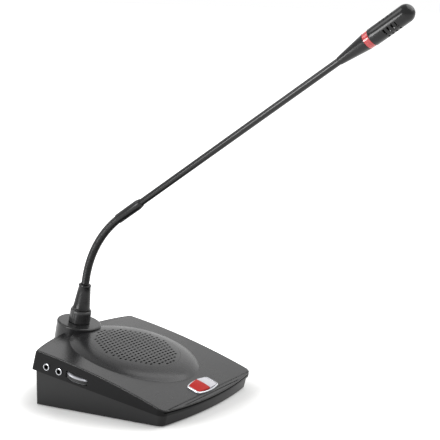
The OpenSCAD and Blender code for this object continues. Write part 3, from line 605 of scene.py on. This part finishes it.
def lidRim(e):
    c = middle(e)
    free = (math.hypot(c.x, c.y - dome["y"]) > dome["radius"] + rimFree["dome"]
            and math.hypot(c.x, c.y - tower["y"]) > tower["radius"] + rimFree["tower"]
            and (abs(c.x) > key["width"] / 2 + rimFree["keySide"]
                 or abs(c.y - key["y"]) > key["depth"] / 2 + key["bow"] + rimFree["keyEnd"]))
    off = abs(math.hypot(c.y - crownY, c.z - crownZ) - crownRadius)
    return free and sharp(e, rimFree["angle"]) and off < rimFree["off"]


pick(lidShell, "edges", lidRim)
bpy.ops.mesh.remove_doubles(threshold=lid["rimWeld"] * mm)     # close points would spoil the round edge
print("lid rim edges", rounded(lidShell, lidRim, lid["rim"], segments=3))
tidy(lidShell)
evened(lidShell)
lidGrey = finish("lidGrey", {"dark": "#161617", "light": "#1d1d1e", "shine": 0.3,
                             "rough": (0.26, 0.36), "bump": 0.06, "grain": 1500, "depth": 0.02,
                             "smudge": 0.5, "dust": 0.05})
dress(lidShell, lidGrey, "base", "lid_grey", "top_cover")

# speaker grille: one cell with its slot, repeated, laid over the dome
grille = {"slot": (3.2, 1.5), "pitch": (5.0, 3.8), "zone": 39.0, "thick": 1.8, "corner": 0.5,
          "across": 20, "down": 13, "drawnAt": 10, "spare": 5, "rowSlack": 0.05,
          "form": (50, 48, 46, 44, 42, 40, 38, 36, 33, 30, 26, 22, 17, 11, 5)}
px, py = grille["pitch"]
slotX, slotY = grille["slot"]
cellAt = (0, 0, grille["drawnAt"] * mm)
fresh()
bpy.ops.mesh.primitive_plane_add(size=mm, location=cellAt)
cell = named("grilleCell")
pick(cell, "faces", anyItem)
bpy.ops.transform.resize(value=(px, py, 1), center_override=cellAt)
pick(cell, "edges", lambda e: abs(abs(middle(e).y) - py / 2) < hair)
bpy.ops.mesh.subdivide(number_cuts=1)
pick(cell, "faces", anyItem)
margin = (px - slotX) / 2
bpy.ops.mesh.inset(thickness=margin * mm)
bpy.ops.transform.resize(value=(1, slotY / (py - 2 * margin), 1), center_override=cellAt)
pick(cell, "verts", lambda v: abs(abs(v.co.x / mm) - slotX / 2) < hair
     and abs(abs(v.co.y / mm) - slotY / 2) < hair)
bpy.ops.mesh.bevel(offset=grille["corner"] * mm, segments=2, affect="VERTICES")
done()
shifted = copied(cell, "grilleCellShifted")
seat(shifted, (px / 2, py, 0))
grilleDisc = joined("grilleDisc", [cell, shifted])
for count, step in ((grille["across"], (px, 0)), (grille["down"], (0, 2 * py))):
    worked(grilleDisc, "ARRAY", count=count, use_relative_offset=False, use_constant_offset=True,
           constant_offset_displace=Vector((*step, 0)) * mm, use_merge_vertices=True,
           merge_threshold=weld["cells"])
seat(grilleDisc, (-px * (grille["across"] // 2), -2 * py * (grille["down"] // 2), 0))
only(grilleDisc)
editing()
bpy.ops.mesh.select_all(action="SELECT")
bpy.ops.mesh.remove_doubles(threshold=weld["cells"])


def openSlot(f):
    c = middle(f)
    row = round(c.y / py)
    off = (c.x - (row % 2) * px / 2 + px / 2) % px - px / 2      # from the middle of its own slot
    room = grille["zone"] ** 2 - c.y ** 2
    if abs(c.y - row * py) > grille["rowSlack"] or abs(off) > slotX / 2 or room < 0:
        return False
    return abs(c.x - off) <= math.sqrt(room) - slotX + hair


slots = pick(grilleDisc, "faces", openSlot) // 2
bpy.ops.mesh.delete(type="FACE")
outside = dome["grille"] + grille["spare"]
pick(grilleDisc, "faces", lambda f: math.hypot(middle(f).x, middle(f).y) > outside)
bpy.ops.mesh.delete(type="FACE")
done()
profile = [(r, domeHeight(r)) for r in grille["form"]]
form = turned("domeForm", profile, sides=128, ends=("open", "tip"))
worked(grilleDisc, "SHRINKWRAP", target=form, wrap_method="PROJECT", use_project_z=True,
       use_negative_direction=True, use_positive_direction=True)
bpy.data.objects.remove(form)
worked(grilleDisc, "SOLIDIFY", thickness=grille["thick"] * mm, offset=-1)
grilleEdge = drum("grilleEdge", dome["grille"], low=-20, high=30, sides=192)
carve(grilleDisc, grilleEdge, "INTERSECT")
onLid(grilleDisc, 0, dome["y"])
tidy(grilleDisc)
dress(grilleDisc, lidGrey, "base", "lid_grey", "speaker_grille")
print("grille has", slots, "slots")

# case: the band under the lid and the lower walls set back below it
case = {"sideIn": 3.5, "rearOut": 3.0, "rearBow": 10.5, "frontIn": 0.4, "frontRound": 6.0,
        "floorGap": 1.0, "edge": 0.35, "edgeAngle": 40, "top": 70, "openBelow": -5, "seatProud": 0.5,
        "notchDrop": 0.1, "bandLine": 0.2}
lowHalf = half - case["sideIn"]


def lowWalls(name, inset, low):
    upright = barrelOutline(lowHalf, lid["depth"] / 2 + case["rearOut"], lid["depth"],
                            case["rearBow"], lid["frontBow"], lid["rearRound"],
                            case["frontRound"], inset)
    walls = traced(name, upright, low, case["top"])
    leaning = barrelOutline(lowHalf, lid["depth"], halfRun - case["frontIn"], lid["rearBow"],
                            lid["frontBow"], lid["rearRound"], case["frontRound"], inset)
    carve(walls, onSlope("leaningFront", leaning), "INTERSECT")
    return walls


caseShell = onSlope("caseShell", bandOutline(0))
carve(caseShell, lidDrum(lid["ledgeDrop"]), "INTERSECT")
cutAtBand(caseShell, 0, True)
lower = lowWalls("lowerWalls", 0, case["floorGap"])
cutAtBand(lower, band["wall"] / 2, False)
carve(lower, lidDrum(lid["thick"] + lid["overcut"]), "INTERSECT")
for part in (caseShell, lower):
    rounded(part, lambda e: sharp(e, case["edgeAngle"]), case["edge"], segments=2, clamp=True)
carve(caseShell, lower, "UNION")
socket = {"y": 80.0, "z": 18.0, "pad": 11.0, "padThick": 2.7, "hole": 8.1, "holeReach": 20}
pad = socket["pad"]
socketPad = block("socketPad", (-pad, socket["y"] - socket["padThick"], socket["z"] - pad),
                  (pad, socket["y"], socket["z"] + pad))
carve(caseShell, socketPad, "UNION")
inside = onSlope("bandInside", bandOutline(band["wall"]))
cutAtBand(inside, band["wall"], True)
carve(caseShell, inside)
carve(caseShell, lowWalls("lowInside", band["wall"], case["openBelow"]))
lidSeat = onSlope("lidSeat", lidOutline(0, case["seatProud"]))
carve(lidSeat, lidDrum(lid["thick"] + lid["seam"]))
carve(caseShell, lidSeat)
notch = drum("towerNotch", tower["radius"] + tower["play"], low=-66, high=66,
             sides=tower["sides"])
seat(notch, towerTop, tower["tilt"])
cutAtBand(notch, -case["notchDrop"], True)
carve(caseShell, notch)
jack = {"y": (54.0, 40.7), "up": 7.05, "hole": 2.4}


def atJack(obj, out, y):        # on the left side, its axis pointing inwards
    return seat(obj, (-half - out, y, bandHeight(y) + jack["up"]), 0, quarter)


for y in jack["y"]:
    carve(caseShell, atJack(drum("jackHole", jack["hole"], low=-2, high=5, sides=48), 0, y))
wheel = {"y": 20.0, "x": -64.2, "drop": 7.9, "radius": 15.0, "thick": 4.6, "play": 0.4, "edge": 0.6,
         "slant": 1.3, "ribs": 60, "ribDepth": 0.35, "bore": 1.55, "rimFacing": 0.6}
wheelLow = -wheel["drop"] - wheel["thick"]
wheelSlot = drum("wheelSlot", wheel["radius"] + 2 * wheel["play"], wheelLow - wheel["play"],
                 -wheel["drop"] + wheel["play"])
carve(caseShell, onLid(wheelSlot, wheel["x"], wheel["y"]))
socketHole = drum("socketHole", socket["hole"], -socket["holeReach"], socket["holeReach"],
                  sides=64)
carve(caseShell, seat(socketHole, (0, socket["y"], socket["z"]), quarter))
tidy(caseShell)
evened(caseShell)
caseDark = finish("caseDark", {"dark": "#0f0f10", "light": "#151516", "shine": 0.27,
                               "rough": (0.34, 0.44), "bump": 0.25, "grain": 1300, "depth": 0.04,
                               "smudge": 0.4, "dust": 0.08})
dress(caseShell, caseDark, "base", "case_dark", "case_body")
# painted shade: the case plastic again, darker and with less shine, for the band that sits in shade
# under the lid while the walls below catch light from the floor
caseBandPaintedShade = finish("caseBandPaintedShade", {"dark": "#0b0b0c", "light": "#101011", "shine": 0.12,
                               "rough": (0.3, 0.4), "bump": 0.12, "grain": 1500, "depth": 0.03,
                               "smudge": 0.5, "dust": 0.05})
secondFinish(caseShell, caseBandPaintedShade,           # painted shade: the band above this line gets the darker, less shiny copy; it is also a little smoother
             lambda f: middle(f).z > bandHeight(middle(f).y) + case["bandLine"])

# silver frame round the keys
rim = {"round": 0.8, "inner": 0.2, "angle": 50, "sleeveLow": -2.6, "sleeveHigh": 0.3, "mouth": 6}


def rimTop(e):
    return sharp(e, rim["angle"]) and middle(e).z > key["rimRise"] - hair


keyFrame = traced("keyFrame", keyOutline(0), 0, key["rimRise"])
rounded(keyFrame, rimTop, rim["round"], segments=4)
sleeve = traced("frameSleeve", keyOutline(key["sleeve"]), rim["sleeveLow"], rim["sleeveHigh"])
carve(keyFrame, sleeve, "UNION")
carve(keyFrame, traced("frameMouth", keyOutline(key["rim"]), -rim["mouth"], rim["mouth"]))
rounded(keyFrame, rimTop, rim["inner"], segments=2)
onLid(keyFrame, 0, key["y"])
tidy(keyFrame)
evened(keyFrame)
frameSilver = finish("frameSilver", {"dark": "#b4b5ba", "light": "#cfd0d4", "rough": (0.2, 0.34),
                                     "metal": 0.9, "bump": 0.05, "across": 1800, "dust": 0.02})
dress(keyFrame, frameSilver, "base", "frame_silver", "key_frame")

# keys: crowned caps with soft edges, split in the middle
keyCap = {"low": -4.0, "high": 6.0, "edge": 0.5, "edgeAngle": 45, "flangeTop": -2.8,
          "flangePlay": 0.05, "plunger": 2.0, "plungerLow": -5.0, "plungerHigh": -3.5}
redLook = {"dark": "#a8120c", "light": "#b91912", "rough": (0.4, 0.5), "grain": 1900,
           "shine": 0.15, "bump": 0.08, "depth": 0.02}
silverLook = {"dark": "#bcbbc2", "light": "#cac9d0", "rough": (0.32, 0.44), "grain": 1900,
              "bump": 0.08, "depth": 0.02, "coat": 0.1}


def keyHalf(obj, side):         # keeps one side of the split
    pick(obj, "faces", anyItem)
    bpy.ops.mesh.bisect(plane_co=(side * key["gap"] / 2 * mm, 0, 0), plane_no=(side, 0, 0),
                        use_fill=True, clear_inner=True)
    done()


for name, side, nodeName, slotName, look in (("redKey", -1, "red_key", "key_red", redLook),
                                             ("silverKey", 1, "silver_key", "key_silver", silverLook)):
    cap = traced(name, keyOutline(key["rim"] + key["gap"]), keyCap["low"], keyCap["high"])
    fresh()
    bpy.ops.mesh.primitive_uv_sphere_add(segments=256, ring_count=256, radius=key["ball"] * mm,
                                         location=(0, 0, (key["rise"] - key["ball"]) * mm),
                                         rotation=(quarter, 0, 0))
    carve(cap, named("keyBall"), "INTERSECT")
    keyHalf(cap, side)
    rounded(cap, lambda e: sharp(e, keyCap["edgeAngle"]) and middle(e).z > 0, keyCap["edge"],
            segments=4, clamp=True)
    flange = traced("keyFlange", keyOutline(key["sleeve"] + keyCap["flangePlay"]),
                    keyCap["low"], keyCap["flangeTop"])
    keyHalf(flange, side)
    carve(cap, flange, "UNION")
    plunger = drum("plunger", keyCap["plunger"], keyCap["plungerLow"], keyCap["plungerHigh"],
                   sides=32)
    carve(cap, seat(plunger, (side * key["width"] / 4, 0, 0)), "UNION")
    onLid(cap, 0, key["y"])
    tidy(cap)
    evened(cap)
    dress(cap, finish(name + "Plastic", look), nodeName, slotName, nodeName)

# volume wheel with a ribbed rim
r, t, e = wheel["radius"], wheel["thick"], wheel["edge"]
topR = r - wheel["slant"]
volumeWheel = turned("volumeWheel", [(r - e - 1.2, 0), (r - e, 0), (r, e), (r, t - wheel["slant"]),
                                     (topR + 0.15, t - 0.15), (topR - 0.2, t), (topR - 1.6, t),
                                     (topR - 2.0, t - 0.25)], sides=4 * wheel["ribs"])


def inGap(f, radius, lean, count, share):       # an outer face in one of the gaps round the axis
    c = middle(f)
    step = 2 * math.pi / count
    outer = math.hypot(c.x, c.y) > radius - 0.2 and abs(f.normal.z) < lean
    return outer and (math.atan2(c.y, c.x) % step) < step * share


def sunk(depth):
    bpy.ops.mesh.extrude_region_shrink_fatten(TRANSFORM_OT_shrink_fatten={"value": -depth * mm})
    done()


pick(volumeWheel, "faces", lambda f: inGap(f, wheel["radius"], 0.3, wheel["ribs"], 1 / 2))
sunk(wheel["ribDepth"])
carve(volumeWheel, drum("wheelBore", wheel["bore"], low=-1, high=t - 1, sides=32))
onLid(seat(volumeWheel, (0, 0, wheelLow)), wheel["x"], wheel["y"])
tidy(volumeWheel)
wheelSilver = finish("wheelSilver", {"dark": "#9a9ba0", "light": "#bcbdc2", "rough": (0.26, 0.4),
                                     "metal": 0.7, "bump": 0.06})
dress(volumeWheel, wheelSilver, "volume_wheel", "wheel_silver", "volume_wheel")
wheelRubber = finish("wheelRubber", {"dark": "#1a1a1b", "light": "#242425", "rough": (0.45, 0.6),
                                     "bump": 0.2})
wheelUp = Vector((0, -math.sin(lidTilt(wheel["y"])), math.cos(lidTilt(wheel["y"]))))
secondFinish(volumeWheel, wheelRubber, lambda f: abs(f.normal.dot(wheelUp)) < wheel["rimFacing"])

# metal rings of the jacks
ring = {"radius": 3.1, "bore": 2.35, "thick": 1.2, "chamfer": 0.4}
r, bore, t = ring["radius"], ring["bore"], ring["thick"]
firstRing = turned("jackRing", [(bore, 0.2), (bore + 0.2, 0), (r - ring["chamfer"], 0),
                                (r - 0.1, 0.15), (r, ring["chamfer"]), (r, t), (bore, t),
                                (bore, 0.2)], sides=64, ends=("open", "join"))
rings = [atJack(copied(firstRing, "jackRingCopy"), t, y) for y in jack["y"]]
bpy.data.objects.remove(firstRing)
jackRings = joined("jackRings", rings)
tidy(jackRings)
ringMetal = finish("ringMetal", {"dark": "#b2b4b8", "light": "#d4d6da", "rough": (0.12, 0.26),
                                 "metal": 1.0, "bump": 0.04})
dress(jackRings, ringMetal, "base", "bright_metal", "jack_rings")

# lock collar with its grip flutes, and the boot
collar = {"radius": 9.7, "height": 12.0, "bore": 5.85, "stem": 3.95, "shelf": 10.05, "flutes": 24,
          "fluteLow": 3, "fluteHigh": 9, "fluteEdge": 0.12, "fluteDepth": 0.25}
r, bore, high, stem = collar["radius"], collar["bore"], collar["height"], collar["stem"]
lockCollar = turned("lockCollar", [(bore, 0), (r - 0.5, 0), (r, 0.5), (r, 2.5), (r, high - 2.5),
                                   (r, high - 1.0), (r - 0.15, high - 0.6), (r - 0.8, high),
                                   (stem, high), (stem, collar["shelf"]), (bore, collar["shelf"]),
                                   (bore, 0)], sides=4 * collar["flutes"], ends=("open", "join"))


def gripFlute(f):
    level = collar["fluteLow"] < middle(f).z < collar["fluteHigh"]
    return level and inGap(f, collar["radius"], 0.1, collar["flutes"], 1 / 4)


pick(lockCollar, "faces", gripFlute)
bpy.ops.mesh.inset(thickness=collar["fluteEdge"] * mm, use_individual=True)
sunk(collar["fluteDepth"])
seat(lockCollar, towerTop, tower["tilt"])
tidy(lockCollar)
collarBlack = finish("collarBlack", {"dark": "#1a1a1b", "light": "#212122", "rough": (0.3, 0.42),
                                     "bump": 0.12, "depth": 0.02})
dress(lockCollar, collarBlack, "base", "collar_black", "lock_collar")

boot = {"low": 8.5, "high": 5.8, "height": 24.5, "ends": 2.4, "steps": 4}
foot, top = collar["height"], collar["height"] + boot["height"]
lo, hi = boot["low"], boot["high"]
taper = [(lo - 0.7 + (hi - lo + 0.5) * k / boot["steps"],
          foot + boot["ends"] + (boot["height"] - 2 * boot["ends"]) * k / boot["steps"])
         for k in range(boot["steps"] + 1)]
bootFoot = [(stem, foot), (lo - 0.3, foot), (lo, foot + 0.3), (lo, foot + 1.2), (lo - 0.25, foot + 1.5)]
bootTop = [(hi - 0.05, top - 1.9), (hi - 0.05, top - 1.0), (hi - 0.35, top - 0.35), (hi - 0.95, top),
           (stem, top), (stem, foot)]
stemBoot = turned("stemBoot", bootFoot + taper + bootTop, sides=72, ends=("open", "join"))
seat(stemBoot, towerTop, tower["tilt"])
tidy(stemBoot)
bootRubber = finish("bootRubber", {"dark": "#121213", "light": "#181819", "shine": 0.25,
                                   "rough": (0.27, 0.36), "bump": 0.12, "depth": 0.03})
dress(stemBoot, bootRubber, "base", "collar_black", "stem_boot")

# gooseneck: one ribbed length round each joint, drawn curving from the lean before it to the lean after
# it
neck = {"radius": 3.85, "link": 9.0, "start": 48.1, "lead": 11.6, "tail": 2.0, "joints": 8,
        "leanEnd": math.radians(55.4), "ribs": 6, "groove": 0.28, "ribShape": (1, 0.35, 0, 0.35)}
leanStep = (neck["leanEnd"] - tower["tilt"]) / neck["joints"]


def along(lean, length):
    return Vector((0, -math.sin(lean) * length, math.cos(lean) * length))


def leanAt(i):
    return tower["tilt"] + leanStep * i


jointAt = [Vector(towerTop) + along(tower["tilt"], neck["start"])]
for i in range(1, neck["joints"]):
    jointAt.append(jointAt[-1] + along(leanAt(i), neck["link"]))
neckBlack = finish("neckBlack", {"dark": "#121213", "light": "#181819", "shine": 0.25,
                                 "rough": (0.26, 0.36), "bump": 0.08, "depth": 0.02})
reach = neck["link"] / 2
ribShape = neck["ribShape"]
for i, joint in enumerate(jointAt):
    before = neck["lead"] if i == 0 else reach
    after = neck["tail"] if i == neck["joints"] - 1 else reach
    lowLean, highLean = leanAt(i), leanAt(i + 1)
    ribs = max(1, round((before + after) / neck["link"] * neck["ribs"]))
    last = ribs * len(ribShape)
    stations = []
    for k in range(last + 1):
        s = -before + (before + after) * k / last
        u = min(1.0, max(0.0, (s + reach) / (2 * reach)))       # how far through the bend
        here = joint + along(lowLean, -reach * (1 - u) ** 2) + along(highLean, reach * u ** 2)
        here += along(lowLean, min(0.0, s + reach)) + along(highLean, max(0.0, s - reach))
        depth = neck["groove"] * ribShape[k % len(ribShape)]
        stations.append((here.y, here.z, lowLean + (highLean - lowLean) * u, neck["radius"] - depth))
    section = ringed("neckSection%d" % (i + 1), stations, sides=40)
    tidy(section, angle=60)
    section.data.materials.append(neckBlack)
    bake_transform(section)
    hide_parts(*(["neck_root"] if i == 0 else ["neck_link_%d" % i]))
    print("made", section.name)

# arm and head, measured from the last joint along the tube
arm = {"sleeve": 4.5, "sleeveEnd": 31.4, "tube": 3.15, "tubeFoot": 8.0, "tubeRings": (31, 15.6, 16),
       "tubeTop": 278.5, "coneFoot": 263.9, "ringStart": 293.3, "capStart": 298.9}
armFoot, armLean = jointAt[-1], neck["leanEnd"]


def onArm(obj):
    return seat(obj, armFoot, armLean)


wide, thin, end = arm["sleeve"], arm["tube"], arm["sleeveEnd"]
sleeve = onArm(turned("neckSleeve", [(wide - 0.5, 0.8), (wide - 0.15, 0.95), (wide, 1.4),
                                     (wide, end - 5.0), (wide - 0.2, end - 3.8),
                                     (thin + 0.4, end - 0.3), (thin + 0.2, end),
                                     (thin + 0.05, end)], sides=48))
tidy(sleeve)
dress(sleeve, bootRubber, "mic_arm", "arm_black", "neck_sleeve")
first, step, count = arm["tubeRings"]
tubeHeights = [arm["tubeFoot"]] + [first + step * k for k in range(count)] + [arm["tubeTop"]]
tube = onArm(turned("armTube", [(thin, z) for z in tubeHeights], sides=48))
tidy(tube)
tubeBlack = finish("tubeBlack", {"dark": "#121213", "light": "#181819", "shine": 0.3,
                                 "rough": (0.2, 0.28), "bump": 0.06, "depth": 0.015, "grain": 1800})
dress(tube, tubeBlack, "mic_arm", "arm_black", "arm_tube")
redRing = {"radius": 7.25, "bore": 5.2, "spigot": 6.35, "spigotEnd": 301.9, "coneTop": 7.1}
cone, low, high = arm["coneFoot"], arm["ringStart"], arm["capStart"]
headCone = onArm(turned("headCone", [(thin + 0.1, cone), (thin + 0.4, cone), (thin + 0.5, cone + 0.2),
                                     (thin + 0.55, cone + 1), (redRing["coneTop"], low - 0.9),
                                     (redRing["radius"], low - 0.3), (redRing["coneTop"], low)],
                        sides=64))
tidy(headCone)
dress(headCone, tubeBlack, "mic_arm", "arm_black", "head_cone")
r, bore, spigot = redRing["radius"], redRing["bore"], redRing["spigot"]
lightRing = turned("lightRing", [(bore, low), (r - 0.25, low), (r - 0.05, low + 0.15), (r, low + 0.5),
                                 (r, high - 0.5), (r - 0.05, high - 0.15), (r - 0.25, high),
                                 (spigot, high), (spigot, redRing["spigotEnd"]),
                                 (bore, redRing["spigotEnd"]), (bore, low)],
                   sides=72, ends=("open", "join"))
onArm(lightRing)
tidy(lightRing)
ringRed = finish("ringRed", {"dark": "#b8262a", "light": "#cc3a3c", "rough": (0.16, 0.26),
                             "bump": 0.03, "depth": 0.02, "coat": 0.4})
dress(lightRing, ringRed, "mic_arm", "ring_red", "light_ring")

# head cap; a row of slots has its place round the cap in degrees, and its width
capSize = {"radius": 7.6, "bore": 6.4, "boreLow": 298.0, "rings": (305, 315, 325), "round": 333.3,
            "slotRows": ((0, 11.0), (120, 4.8), (180, 6.0), (240, 4.8)), "slots": 4,
            "slotStart": 13, "slotPitch": 4, "slotHigh": 1.5}


def ballTop(radius, degrees, steps):        # the round end of the cap, short of its tip
    turn = [math.radians(degrees * k) for k in range(1, steps + 1)]
    return [(radius * math.cos(a), capSize["round"] + radius * math.sin(a)) for a in turn]


r, bore = capSize["radius"], capSize["bore"]
shell = [(bore, high), (r - 0.4, high), (r - 0.1, high + 0.15), (r, high + 0.5)]
shell += [(r, z) for z in (*capSize["rings"], capSize["round"])]
headCap = turned("headCap", shell + ballTop(r, degrees=6, steps=14), sides=96, ends=("open", "tip"))
capBore = [(bore, capSize["boreLow"]), (bore, capSize["round"])] + ballTop(bore, degrees=10, steps=8)
pick(headCap, "edges", lambda e: len(e.link_faces) == 1)
bpy.ops.mesh.edge_face_add()
done()
carve(headCap, turned("capBore", capBore, ends=("fill", "tip")))
cutters = []
for degrees, wide in capSize["slotRows"]:
    for k in range(capSize["slots"]):
        z = high + capSize["slotStart"] + capSize["slotPitch"] * k
        bar = block("slotBar", (-wide / 2, r / 2, z), (wide / 2, 1.5 * r, z + capSize["slotHigh"]))
        only(bar)
        bar.rotation_euler = (0, 0, math.radians(degrees))
        bpy.ops.object.transform_apply(rotation=True)
        cutters.append(bar)
carve(headCap, joined("slotBars", cutters))
onArm(headCap)
tidy(headCap)
capBlack = finish("capBlack", {"dark": "#101011", "light": "#151516", "shine": 0.3,
                               "rough": (0.2, 0.28), "bump": 0.1, "depth": 0.02})
dress(headCap, capBlack, "mic_arm", "arm_black", "head_cap")

# finishes of the pieces that keep their own solids
innerLooks = {
    "plateSteel": ({"dark": "#7e8084", "light": "#96989c", "rough": (0.35, 0.5), "metal": 1.0,
                    "bump": 0.1}, ("base_plate",)),
    "footRubber": ({"dark": "#171717", "light": "#222223", "rough": (0.7, 0.85), "bump": 0.4,
                    "depth": 0.06}, ("rubber_feet",)),
    "screwSteel": ({"dark": "#9b9da2", "light": "#c2c4c9", "rough": (0.22, 0.38), "metal": 1.0},
                   ("base_screws", "board_screws", "speaker_screws", "key_board_screws",
                    "bush_nut", "tower_bush")),
    "boardGreen": ({"dark": "#174a2d", "light": "#20603c", "rough": (0.3, 0.45), "cloud": 120,
                    "coat": 0.2}, ("main_board", "key_board", "light_board")),
    "chipBlack": ({"dark": "#1c1c1d", "light": "#262627", "rough": (0.4, 0.55)},
                  ("board_chips", "key_switches")),
    "canGrey": ({"dark": "#2b2f36", "light": "#3b4048", "rough": (0.3, 0.42)},
                ("board_capacitors", "volume_pot")),
    "connectorIvory": ({"dark": "#cbc5b2", "light": "#dcd6c5", "rough": (0.4, 0.55)},
                       ("board_connector",)),
    "basketSteel": ({"dark": "#434549", "light": "#54565a", "rough": (0.35, 0.5), "metal": 0.8},
                    ("speaker_basket", "speaker_magnet")),
    "conePaper": ({"dark": "#131313", "light": "#1e1e1e", "rough": (0.75, 0.9), "grain": 700,
                   "bump": 0.5, "depth": 0.1}, ("speaker_cone", "speaker_gasket")),
    "jackBlack": ({"dark": "#141415", "light": "#1d1d1e", "rough": (0.35, 0.5)},
                  ("headphone_jack", "line_jack", "socket_insert", "capsule_holder")),
    "socketNickel": ({"dark": "#96989d", "light": "#b6b8bd", "rough": (0.22, 0.36), "metal": 1.0},
                     ("system_socket", "mic_capsule")),
    "pinBrass": ({"dark": "#b8963c", "light": "#d8b860", "rough": (0.22, 0.34), "metal": 1.0},
                 ("socket_pins",)),
    "lampClear": ({"dark": "#e2d2ca", "light": "#f4e8e2", "rough": (0.2, 0.3)}, ("ring_lamps",)),
}
for name, (look, members) in innerLooks.items():
    mat = finish(name, look)
    for member in members:
        nodes[member].data.materials.clear()
        nodes[member].data.materials.append(mat)
print("finishes set on the inner pieces")
